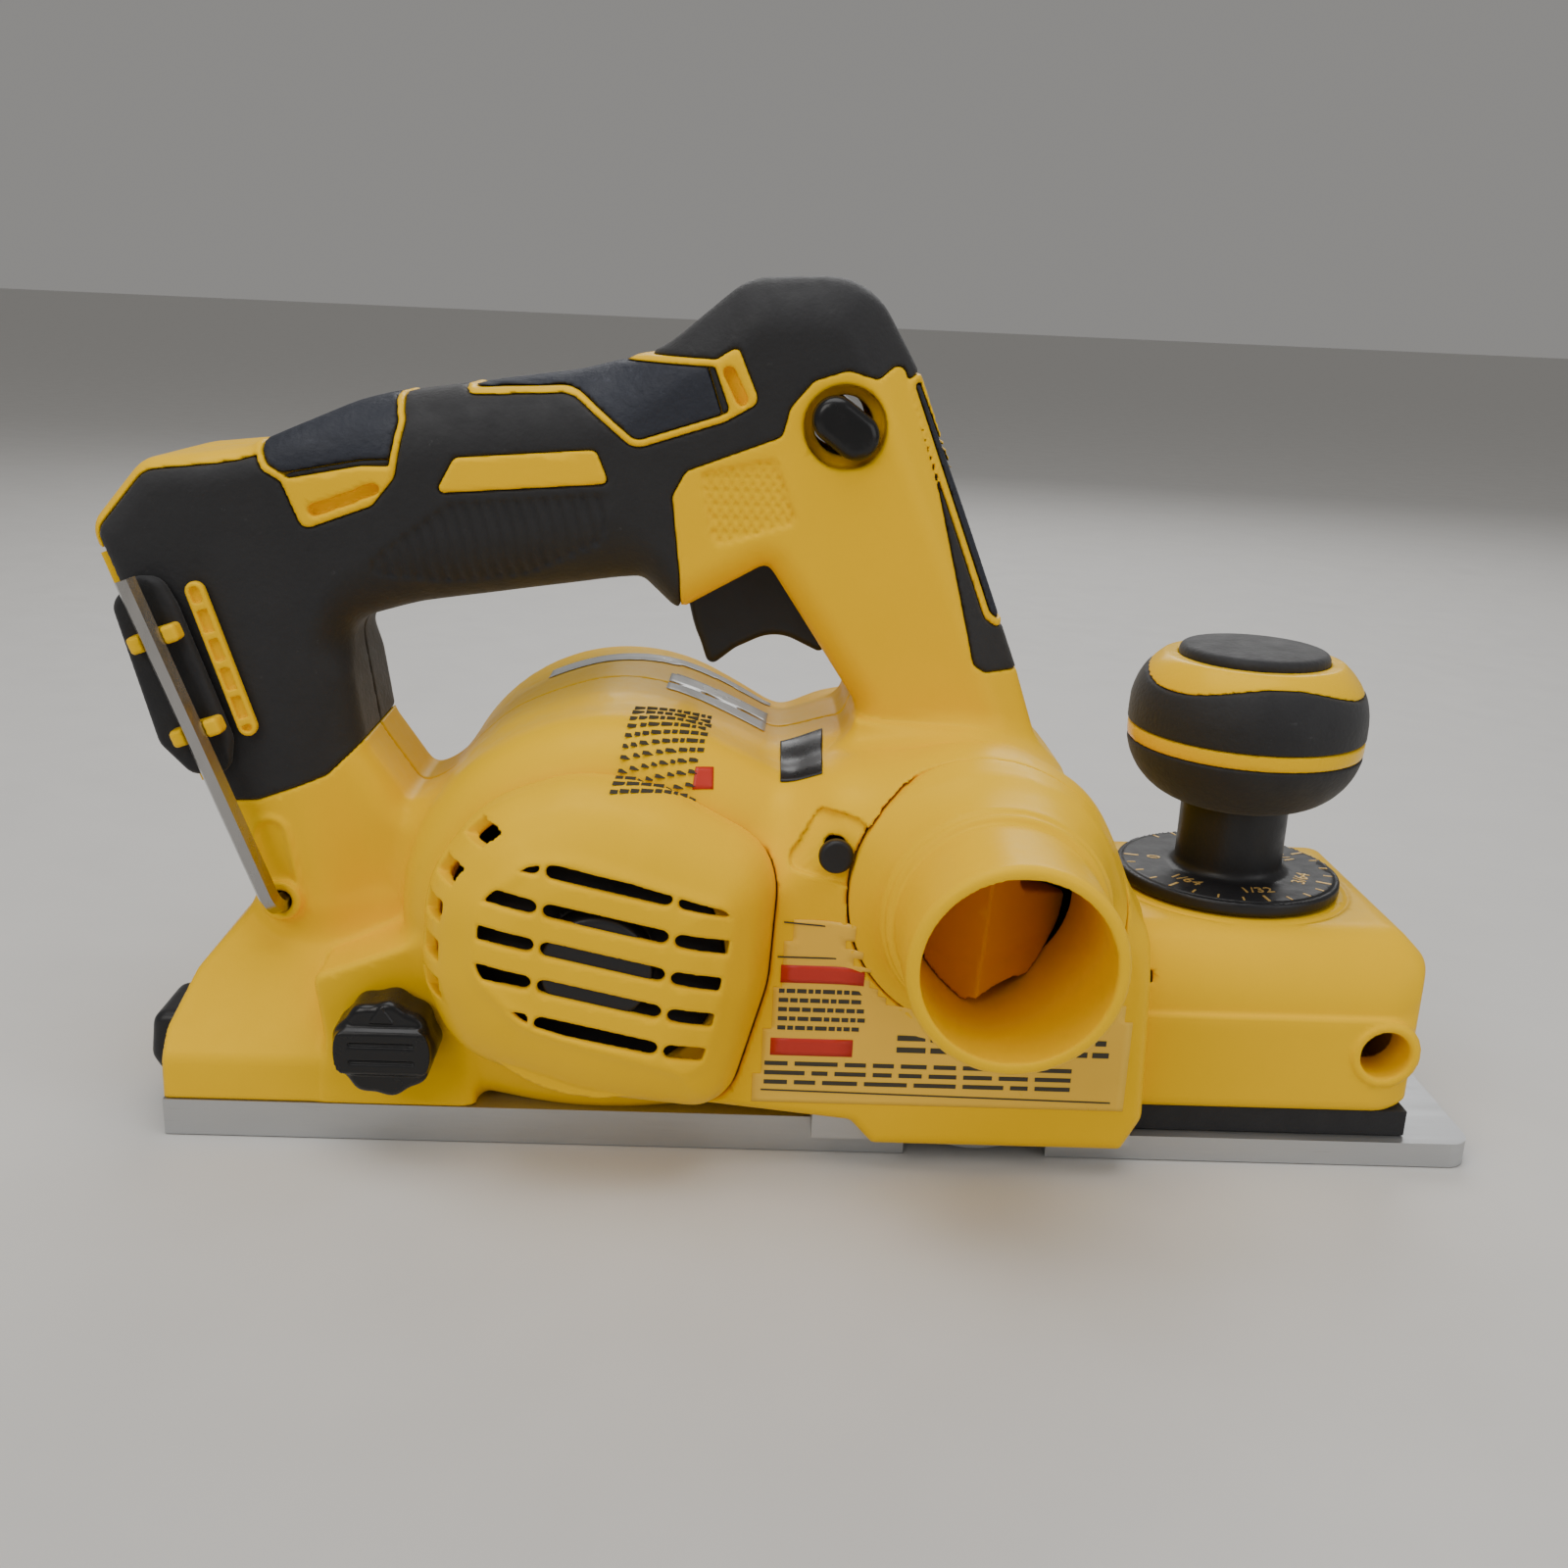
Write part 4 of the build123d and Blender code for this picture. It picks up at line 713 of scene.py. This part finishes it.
# ---- front housing
def front_housing():
    """The housing over the front shoe, under the dial."""
    space = Space((64.5, -42.5, 10.5), (135, 42.5, 54.5), VOXEL, LEFT)
    x, y, z = space.x, space.s, space.z
    s = np.abs(y)
    long_way = space.outline((
        (66.3, 12, 0.5), (66.3, 52.5, 0.5), (127, 52.5, 6), (133.2, 46, 5), (133.2, 12, 1),
    ))
    upper = meet(s - 38.6, (s - 29.5) * 0.72 + (z - 52.5) * 0.69, 5)
    lower = meet(s - 40.0, z - 35.2, 0.7)
    section = join(upper, lower, 0.6)
    solid = meet(long_way, section, 3.0)
    # upright front corners
    corner = (x - 133.2 + (s - 40.0) + 5.5) * 0.707
    solid = meet(solid, corner, 5)
    shell = np.maximum(solid, -np.maximum(solid + WALL, x - 131))
    shell = np.maximum(shell, -np.maximum(within(x, 60, 70), np.maximum(s - 37, z - 44)))
    from_knob = np.hypot(x - KNOB_X, y)
    shell = np.maximum(shell, 7.2 - from_knob)
    boss = np.maximum(space.circle(FENCE, 8.2), within(-y, 29, 40.0))
    shell = np.minimum(shell, boss)
    ring = np.maximum(np.abs(space.circle(FENCE, 6.6)) - 0.9, within(-y, 38, 40.7))
    shell = join(shell, ring, 0.4)
    shell = np.maximum(shell, -np.maximum(space.circle(FENCE, 5.5), within(-y, 28, 45)))
    # the groove around the dial
    shell = np.maximum(shell, -np.maximum(np.abs(from_knob - 28.2) - 0.5, 52.0 - z))
    place(space.mesh("front_housing_shell", shell), "planer_body", "yellow_housing", yellow, "front_housing")


front_housing()


# ---- belt cover on the left
def belt_cover():
    """The black cover over both pulleys, with its screw bosses."""
    space = Space((-81, 48, 1.5), (67, 67.3, 82), VOXEL, LEFT)
    x, s, z = space.x, space.s, space.z
    hull = space.outline(belt_outline())
    solid = meet(hull, s - 66.0, 5)
    # a rim around a sunk panel, with grip lines towards the motor end
    sunk = 1.1 * step(-hull, 6.0, 8.0)
    stripes = 0.6 * step(np.cos((x * 0.9 + z * 0.45) * 2 * math.pi / 7), 0.55, 0.85)
    stripes = stripes * step(-hull, 10, 11) * step(-x, 8, 10)
    solid_face = np.maximum(solid, s - (66.0 - sunk + stripes))
    shell = np.maximum(solid_face, -(solid + WALL))
    shell = meet(shell, 49.6 - s, 0.5)
    for screw in BELT_COVER_SCREWS:
        boss = np.maximum(space.circle(screw, 4.8), within(s, 49.7, 65.4))
        shell = np.minimum(shell, np.maximum(boss, hull + 1.2))
        shell = np.maximum(shell, -np.maximum(space.circle(screw, 3.3), 64.4 - s))
        shell = np.maximum(shell, -space.circle(screw, 1.65))
    place(space.mesh("belt_cover_shell", shell), "planer_body", "black_plastic", black, "belt_cover")


def belt_outline():
    """Both pulleys inside one outline, cut level along the bottom."""
    big, small = ((DRUM[0], DRUM[1] + 6), 31), (MOTOR, 28)
    points = []
    gap = math.hypot(big[0][0] - small[0][0], big[0][1] - small[0][1])
    base = math.atan2(small[0][1] - big[0][1], small[0][0] - big[0][0])
    spread = math.acos((big[1] - small[1]) / gap)
    for (centre, radius), first, last in (
        (small, base + spread, base - spread),
        (big, base - spread, base + spread - 2 * math.pi),
    ):
        for k in range(37):
            angle = first + (last - first) * k / 36
            height = max(centre[1] + radius * math.sin(angle), 3.0)
            points.append((centre[0] + radius * math.cos(angle), height))
    return [(*p, 0) for i, p in enumerate(points) if math.dist(p, points[i - 1]) > 0.05]


belt_cover()

# ---- depth knob and dial
DIAL_TOP = 56.5
DIAL_START, DIAL_STEP = 167.0, 54.7
BALL_MIDDLE, BALL_HALF, BALL_RADIUS = 91.9, 18.9, 27.0


def depth_knob():
    """The ball of the depth knob, its rubber and the dial under it."""
    space = Space((67.6, -27.8, 51.8), (123.2, 27.8, 112), FINE_VOXEL, LEFT)
    x, y, z = space.x - KNOB_X, space.s, space.z
    away, around = np.hypot(x, y), np.arctan2(y, x)
    ball = meet(away - BALL_RADIUS, np.abs(z - BALL_MIDDLE) - BALL_HALF, 16.5)
    scallop = 103.0 + 1.7 * np.cos(3 * (around + math.pi / 2))
    bands = np.minimum(within(z, 87.2, 90.8), np.maximum(scallop - z, z - 107.6) * 0.9)
    bore = away - 5.1
    core = np.maximum(np.minimum(meet(ball + 0.15, bands, EDGE), ball + 3.1), z - 107.5)
    core = np.maximum(core, -np.maximum(away - 17.1, 106.9 - z))
    core = np.maximum(np.maximum(core, -bore), -np.maximum(away - 10.4, z - 78))
    grip = meet(np.maximum(ball, -(ball + 3.0)), np.maximum(-bands, z - 106) + 0.1, 0.5)
    grip = np.maximum(grip, -np.maximum(away - 12.6, z - 79))
    cap = meet(away - 17.0, z - 110.6 + 0.0035 * away ** 2, 1.6)
    cap = np.maximum(cap, 107.1 - z)
    neck = meet(away - 12.4, within(z, 54, 76), 0.5)
    dial = meet(away - 26.0, within(z, 52.9, DIAL_TOP), 1.1)
    rim = np.abs(away - 25.0) - 0.35
    dial = np.maximum(dial, -np.maximum(rim, DIAL_TOP - 0.45 - z))
    dial = np.maximum(join(dial, neck, 2.2), -bore)
    for name, field, slot, finish, node in (
        ("knob_core_ball", core, "yellow_trim", yellow_smooth, "knob_core"),
        ("knob_grip_skin", grip, "black_rubber", rubber, "knob_grip"),
        ("knob_cap_pad", cap, "black_rubber", rubber, "knob_cap"),
        ("depth_dial_disc", dial, "black_plastic", black, "depth_dial"),
    ):
        place(space.mesh(name, field), "depth_knob", slot, finish, node)


def joined(name, parts):
    """Several lists of corners and faces as one mesh object."""
    places, faces = [], []
    for corners, part_faces in parts:
        faces += [[len(places) + i for i in face] for face in part_faces]
        places += [Vector(c) * MM for c in corners]
    mesh = bpy.data.meshes.new(name)
    mesh.from_pydata(places, [], faces)
    mesh.validate()
    obj = bpy.data.objects.new(name, mesh)
    bpy.context.scene.collection.objects.link(obj)
    return obj


BRICK_FACES = ((0, 2, 3, 1), (4, 5, 7, 6), (0, 1, 5, 4), (2, 6, 7, 3), (0, 4, 6, 2), (1, 3, 7, 5))


def brick(middle, u, v, w):
    """A small block from its middle and three half edges."""
    middle, u, v, w = Vector(middle), Vector(u), Vector(v), Vector(w)
    corners = [middle + a * u + b * v + c * w for a in (-1, 1) for b in (-1, 1) for c in (-1, 1)]
    return corners, [tuple(f) for f in BRICK_FACES]


def dial_scale():
    """Ticks and depth numbers on the dial, in inches as on any such tool."""
    parts = []
    for k in range(24):
        angle = math.radians(DIAL_START + k * DIAL_STEP / 4)
        major = k % 4 == 0
        inner, outer = (20.8 if major else 22.2), 24.2
        out = Vector((math.cos(angle), math.sin(angle), 0))
        side = Vector((-out.y, out.x, 0))
        middle = Vector((KNOB_X, 0, DIAL_TOP + 0.02)) + out * (inner + outer) / 2
        parts.append(brick(middle, out * (outer - inner) / 2, side * (0.32 if major else 0.22), (0, 0, 0.06)))
    place(joined("dial_ticks", parts), "depth_knob", "brass_parts", gold)
    for k, text in enumerate(("0", "1/64", "1/32", "3/64", "1/16", "5/64")):
        angle = math.radians(DIAL_START + k * DIAL_STEP)
        curve = bpy.data.curves.new("dial_number", "FONT")
        curve.body, curve.size = text, 4.5 * MM
        curve.align_x, curve.align_y = "CENTER", "CENTER"
        curve.extrude = 0.06 * MM
        holder = bpy.data.objects.new("dial_number", curve)
        bpy.context.scene.collection.objects.link(holder)
        bpy.context.view_layer.update()
        flat = holder.evaluated_get(bpy.context.evaluated_depsgraph_get())
        mesh = bpy.data.meshes.new_from_object(flat)
        bpy.data.objects.remove(holder)
        out = Vector((math.cos(angle), math.sin(angle), 0))
        mesh.transform(
            Matrix.Translation(Vector((KNOB_X, 0, DIAL_TOP + 0.03)) * MM + out * 17.4 * MM)
            @ Matrix.Rotation(angle + math.pi / 2, 4, "Z")
        )
        number = bpy.data.objects.new(f"dial_number_{k}", mesh)
        bpy.context.scene.collection.objects.link(number)
        place(number, "depth_knob", "brass_parts", gold)


depth_knob()
dial_scale()

# ---- trigger, lock-off button and lock knob
TRIGGER = (
    (-35.2, 117.5, 1.5), (-33.4, 110, 2), (-30.3, 100.8, 2.2), (-24, 106, 7), (-15.5, 110.2, 9),
    (-4.6, 105.2, 2.0), (-2.6, 110, 2), (-5, 122, 2), (-12, 128.6, 2), (-32, 128.6, 3),
)


def trigger_piece():
    """The trigger, with its finger face hollowed across its width."""
    space = Space((-37.5, -10, 98.5), (0, 10, 131), FINE_VOXEL * 0.9, LEFT)
    x, y, z = space.x, space.s, space.z
    hollow = 1.2 * (1 - (y / 8.5) ** 2) * step(-(z - 0.1 * x), -117, -110)
    solid = meet(space.outline(TRIGGER) + np.maximum(hollow, 0), np.abs(y) - 8.5, 2.4)
    solid = np.maximum(solid, -space.circle(TRIGGER_PIVOT, 2.1))
    place(space.mesh("trigger_grip", solid), "trigger", "black_plastic", black, "trigger")


def lock_off_piece():
    """The lock-off button: an oval head on either side, and the stem between them."""
    space = Space((-13, -25.6, 147), (7.5, 22.2, 166), FINE_VOXEL, LEFT)
    oval, outwards = space.bar((-5.2, 158.1), (-0.8, 154.9), 4.9), np.abs(space.s + 1.75)
    head = meet(oval, within(outwards, 16.5, 22.9), 2.2)
    head = np.maximum(head, outwards - 23.2 + 0.021 * (oval + 4.9) ** 2)
    stem = np.maximum(space.circle(LOCK_OFF, 3.9), np.abs(space.s) - 19)
    button = space.mesh("lock_off_oval", join(head, stem, 0.6))
    place(button, "lock_off_button", "black_plastic", gloss_black, "lock_off_button")


def lock_knob_piece():
    """The small knob that locks the kickstand."""
    low, high = ((LOCK_KNOB[0] + 13 * end, s, LOCK_KNOB[1] + 13 * end) for end, s in ((-1, 29), (1, 54)))
    space = Space(low, high, FINE_VOXEL * 0.8, RIGHT)
    x, s, z = space.x - LOCK_KNOB[0], space.s, space.z - LOCK_KNOB[1]
    away, around = np.hypot(x, z), np.arctan2(z, x)
    rim = away - (10.75 + 0.35 * np.cos(9 * around))
    solid = meet(rim, within(s, 41.6, 51.4), 1.8)
    # a raised grip band across the face, with two lines and a pointer
    band = meet(within(z, -5.2, 5.2), np.maximum(away - 10.2, s - 53.0), 1.3)
    solid = join(solid, np.maximum(band, 48 - s), 1.0)
    for height in (-2.0, 2.0):
        line = meet(within(z, height - 0.45, height + 0.45), np.abs(x) - 7, 0.3)
        solid = np.maximum(solid, -np.maximum(line, 52.4 - s))
    pointer = np.maximum(np.maximum(np.abs(x) * 0.9 + z * 0.6 - 6.2, 6.4 - z), within(s, 50, 51.8))
    solid = np.minimum(solid, pointer)
    stem = np.maximum(away - 4.0, within(s, 32, 43))
    cam = np.maximum(np.hypot((x + 2) / 1.6, z) - 5, within(s, 29.2, 32.2))
    knob = space.mesh("lock_knob_turn", np.minimum(solid, np.minimum(stem, cam)))
    place(knob, "kickstand_lock_knob", "black_plastic", gloss_black, "kickstand_lock_knob")


trigger_piece()
lock_off_piece()
lock_knob_piece()

# ---- wrench holder on the rear post
HOLDER_PAD = (
    (-153.8, 115, 4), (-149, 121, 3), (-143.4, 121.2, 4), (-140.4, 115.6, 5), (-130.4, 87, 5),
    (-131.4, 79, 4), (-139.6, 78.7, 4), (-146, 85.3, 5),
)
# where the wrench lies: its upper end, and the way it points
WRENCH_TOP, WRENCH_WAY = (-149, 121), (0.351, -0.936)


def wrench_holder():
    """The rubber pad that the hex wrench is clipped to, with its yellow clips and insert."""
    space = Space((-160.5, 21, 71), (-124, 33.4, 123), FINE_VOXEL * 0.9, RIGHT)
    x, s, z = space.x, space.s, space.z
    from_top = x - WRENCH_TOP[0], z - WRENCH_TOP[1]
    across = from_top[1] * WRENCH_WAY[0] - from_top[0] * WRENCH_WAY[1]
    along = from_top[0] * WRENCH_WAY[0] + from_top[1] * WRENCH_WAY[1]
    from_wrench = np.hypot(across, s - 31.5)
    pad = cut(meet(space.outline(HOLDER_PAD), within(s, 25.0, 28.3), 1.5), from_wrench - 4.3, 0.5)
    place(space.mesh("wrench_holder_pad", pad), "planer_body", "black_rubber", rubber, "wrench_holder")
    clips = np.full(space.shape, 50.0, np.float32)
    for at in (13.2, 34.2):
        bar = meet(within(along, at - 1.9, at + 1.9), within(across, -5.4, 5.4), 0.8)
        clips = np.minimum(clips, meet(bar, within(s, 26.5, 31.8), 0.9))
    clips = np.maximum(clips, 2.35 - from_wrench)
    place(space.mesh("wrench_clips_pair", clips), "planer_body", "yellow_trim", yellow_smooth, "wrench_clips")
    # the long yellow insert beside the wrench, with recesses and small bridges
    start, end = (-136.6, 118.2), (-127.4, 89.6)
    insert = meet(space.bar(start, end, 2.1), within(s, 25.2, 27.4), 0.6)
    run = (x - start[0]) * 0.309 - (z - start[1]) * 0.951
    windows = np.maximum(space.bar(start, end, 1.05), -(np.abs((run % 6.4) - 3.2) - 0.8))
    insert = np.maximum(insert, -np.maximum(windows, 26.2 - s))
    place(space.mesh("wrench_holder_insert", insert), "planer_body", "yellow_trim", yellow)


wrench_holder()

# ---- labels, laid onto the surfaces
PLANER_SKINS = (
    "housing_right_shell", "housing_left_shell", "motor_cover_shell", "chip_chute_shell",
    "front_housing_shell",
)


def skins_tree():
    """The yellow shells as one tree for casting rays at."""
    places, faces = [], []
    for obj in [o for o in bpy.context.scene.objects if o.name.startswith(PLANER_SKINS)]:
        base = len(places)
        places += [v.co for v in obj.data.vertices]
        faces += [[base + i for i in p.vertices] for p in obj.data.polygons]
    return BVHTree.FromPolygons(places, faces)


skin_tree = skins_tree()


def decal(name, corners, towards, lift, finish, slot, cells=14, keep=None):
    """A thin sheet: four corners in mm, moved along a direction until they meet the surface."""
    a, b, c, d = (Vector(p) for p in corners)
    way = Vector(towards).normalized()
    rows = []
    for i in range(cells + 1):
        row = []
        for j in range(cells + 1):
            u, v = i / cells, j / cells
            point = (a * (1 - u) + b * u) * (1 - v) + (d * (1 - u) + c * u) * v
            hit = skin_tree.ray_cast(point * MM, way)[0]
            row.append(None if hit is None else hit / MM - way * lift)
        rows.append(row)
    places, faces, index = [], [], {}
    for i in range(cells):
        for j in range(cells):
            quad = ((i, j), (i + 1, j), (i + 1, j + 1), (i, j + 1))
            points = [rows[p][q] for p, q in quad]
            if any(p is None for p in points) or (keep and not all(keep(p) for p in points)):
                continue
            if max((points[k] - points[k - 1]).length for k in range(4)) > 9:
                continue
            for key, p in zip(quad, points):
                if key not in index:
                    index[key] = len(places)
                    places.append(p)
            faces.append([index[key] for key in quad])
    obj = joined(name, [(places, faces)])
    for polygon in obj.data.polygons:
        polygon.use_smooth = True
    thick = obj.modifiers.new("thickness", "SOLIDIFY")
    thick.thickness = 0.1 * MM
    thick.offset = 0
    place(obj, "planer_body", slot, finish)


# Only blank sheets, coloured blocks and plain dashes stand for the labels.
def rules(name, corner, across, down, rows, towards, seed):
    """Rows of short plain dashes in place of small print, on the surface in front of them."""
    draw = np.random.default_rng(seed)
    parts = []
    corner, across, down, way = Vector(corner), Vector(across), Vector(down), Vector(towards).normalized()
    for row in range(rows):
        at = 0.0
        while at < 0.93:
            length = min(float(draw.uniform(0.05, 0.14)), 0.97 - at)
            middle = corner + across * (at + length / 2) + down * ((row + 0.5) / rows)
            hit = skin_tree.ray_cast(middle * MM, way)[0]
            if hit is not None:
                half = down / rows * 0.22
                parts.append(brick(hit / MM - way * 0.19, across * length / 2, half, way * 0.04))
            at += length + 0.022
    place(joined(name, parts), "planer_body", "black_plastic", print_dark)


def clear_of_port(point):
    """Whether a point lies on the flat side, outside the foot of the port."""
    return math.hypot(point.x - PORT[0], point.z - PORT[1]) > 27.6 and point.y < -47


def inside_side_label(point):
    """Whether a point lies between the slanted ends of the side label."""
    slanted = point.x > -11.2 - 0.18 * (58.6 - point.z) and point.x + 0.6 * (point.z - 40) < 62
    return slanted and clear_of_port(point)


def labels():
    """The label on the side, those on the motor, and the film over the top of the body."""
    front = (0, 1, 0)
    panel = ((-17.5, -95, 58.6), (63, -95, 58.6), (63, -95, 16.4), (-17.5, -95, 16.4))
    decal("side_label", panel, front, 0.08, label_yellow, "yellow_trim", cells=44, keep=inside_side_label)
    for k, (low, high) in enumerate(((44.4, 48.4), (27.6, 31.6))):
        start = -12.4 - 0.09 * (48.4 - high)
        end = start + 17.5
        block = ((start, -95, high), (end, -95, high), (end, -95, low), (start, -95, low))
        name = f"side_label_block_{k}"
        decal(name, block, front, 0.16, label_red, "yellow_trim", cells=4, keep=clear_of_port)
    for k, (x0, width, top, height, rows) in enumerate((
        (-12.6, 19, 43.6, 10.6, 5), (-15.0, 68, 26.8, 6.6, 3), (13, 47, 33.8, 5.6, 2),
    )):
        rules(f"side_label_lines_{k}", (x0, -95, top), (width, 0, 0), (0, 0, -height), rows, front, 11 + k)
    border = []
    for ends in (((-12.2, 58), (1.6, 57)), ((-13.2, 50.2), (4.2, 50.2)), ((-15.6, 19.4), (60, 18.4))):
        start, end = (Vector((px, -49.72, pz)) for px, pz in ends)
        border.append(brick((start + end) / 2, (end - start) / 2, (0, 0, 0.16), (0, 0.05, 0)))
    place(joined("side_label_rules", border), "planer_body", "black_plastic", print_dark)
    # data label on the round of the motor, with a red block
    slant = (0, 0.62, -0.78)
    rules("motor_label_lines", (-45, -37.7, 112.1), (17.5, 9.0, -3.4), (-3.4, -27.4, -12.6), 11, slant, 5)
    red = ((-31.6, -52.8, 103.6), (-27.9, -51.5, 103.4), (-27.8, -54.4, 99.4), (-32.1, -55.5, 99.5))
    decal("motor_label_block", red, slant, 0.14, label_red, "yellow_trim", cells=5)
    # slanted dark badge, left blank, and the silver film over the top of the body
    badge = ((-13.5, -26.6, 102.5), (-4.1, -23.2, 104.9), (-5.1, -48.4, 101.8), (-13.8, -47.1, 99.3))
    decal("body_badge", badge, slant, 0.3, label_dark, "black_plastic", cells=22)
    film = ((-69, 28, 130), (-15, 26, 130), (-17, -9, 130), (-69, -4, 130))
    decal("body_film", film, (0, 0, -1), 0.25, label_silver, "sole_aluminium", cells=44)


labels()


def motor_sensor_board():
    """The dark sensor board over the end of the stator, with the cap of the end bearing."""
    space = Space((-79, 53.2, 22), (-21, 63.4, 80), FINE_VOXEL + 0.1, RIGHT)
    away = space.circle(MOTOR, 0)
    ring = meet(away - 25.6, within(space.s, 54.0, 55.6), 0.3)
    ring = np.minimum(ring, meet(away - 11.4, within(space.s, 54.0, 61.9), 0.8))
    ring = np.maximum(ring, -np.maximum(away - 9.4, within(space.s, 50, 60.7)))
    place(space.mesh("motor_sensor_board", ring), "planer_body", "black_plastic", black)


motor_sensor_board()


def kickstand_arm():
    """The kickstand's rounded foot, which shows behind the base."""
    space = Space((-153.5, 12, 8), (-121, 34, 28), FINE_VOXEL, RIGHT)
    outline = space.outline((
        (-123.4, 13, 2), (-128, 11, 2), (-138, 9.3, 1), (-148.6, 9.3, 3), (-151.5, 14, 4),
        (-150.4, 24.5, 5), (-144.5, 24.8, 4), (-128, 21, 2), (-123.4, 19, 2),
    ))
    arm = meet(outline, within(space.s, 13.6, 32.4), 2.4)
    arm = np.maximum(arm, -space.circle(KICKSTAND_PIVOT, 2.06))
    place(space.mesh("kickstand_arm", arm), "kickstand", "black_plastic", black, "kickstand")


kickstand_arm()

# ---- camera, light and floor
# The photo is squeezed to 75% of its width; the model and this camera have true proportions.
CAMERA_PLACE = Vector((-24.4, -352.1, 179.5)) * MM
YAW, PITCH, ROLL = -0.036, 0.294, 0.045


def add_camera():
    """The view that the object is pictured from; a wide lens, close by."""
    forward = Vector((-math.sin(YAW) * math.cos(PITCH), math.cos(YAW) * math.cos(PITCH), -math.sin(PITCH)))
    right = Vector((math.cos(YAW), math.sin(YAW), 0))
    up = right.cross(forward)
    right, up = (
        right * math.cos(ROLL) + up * math.sin(ROLL),
        up * math.cos(ROLL) - right * math.sin(ROLL),
    )
    data = bpy.data.cameras.new("view")
    data.lens, data.sensor_width = 36.0, 36.0
    data.clip_start, data.clip_end = 0.01, 20
    camera = bpy.data.objects.new("view", data)
    turn = Matrix((right, up, -forward)).transposed().to_4x4()
    camera.matrix_world = Matrix.Translation(CAMERA_PLACE) @ turn
    bpy.context.scene.collection.objects.link(camera)
    bpy.context.scene.camera = camera


def add_light(name, place_at, target, size, watts, color=(1, 1, 1)):
    """A rectangular light that faces its target."""
    data = bpy.data.lights.new(name, "AREA")
    data.shape, data.size, data.size_y = "RECTANGLE", size[0], size[1]
    data.energy, data.color = watts, color
    light = bpy.data.objects.new(name, data)
    light.location = place_at
    light.rotation_euler = (Vector(target) - Vector(place_at)).to_track_quat("-Z", "Y").to_euler()
    bpy.context.scene.collection.objects.link(light)


add_camera()
add_light("overhead", (-0.1, -0.15, 1.1), (0, 0, 0.05), (1.0, 0.7), 7.5)
add_light("key", (-0.75, -0.95, 0.9), (0, 0, 0.08), (0.7, 0.7), 6, (1.0, 0.97, 0.92))
add_light("fill", (0.9, -0.7, 0.5), (0, 0, 0.08), (0.8, 0.8), 3)
add_light("back", (0.2, 1.0, 0.8), (0, 0, 0.1), (1.0, 0.6), 6)

world = bpy.data.worlds.new("studio")
world.use_nodes = True
world.node_tree.nodes["Background"].inputs["Color"].default_value = (1.0, 0.98, 0.95, 1)
world.node_tree.nodes["Background"].inputs["Strength"].default_value = 0.27
bpy.context.scene.world = world

FLOOR_HALF, FLOOR_HEIGHT = 40, -0.0003
floor_mesh = bpy.data.meshes.new("floor")
floor_corners = [
    (a * FLOOR_HALF, b * FLOOR_HALF, FLOOR_HEIGHT) for a, b in ((-1, -1), (1, -1), (1, 1), (-1, 1))
]
floor_mesh.from_pydata(floor_corners, [], [(0, 1, 2, 3)])
floor = bpy.data.objects.new("floor", floor_mesh)
bpy.context.scene.collection.objects.link(floor)
pale = material("floor_pale", (0.62, 0.61, 0.59), 0.55, grain=2.0, bump=0.04, mottle=0.02)
floor.data.materials.append(pale)
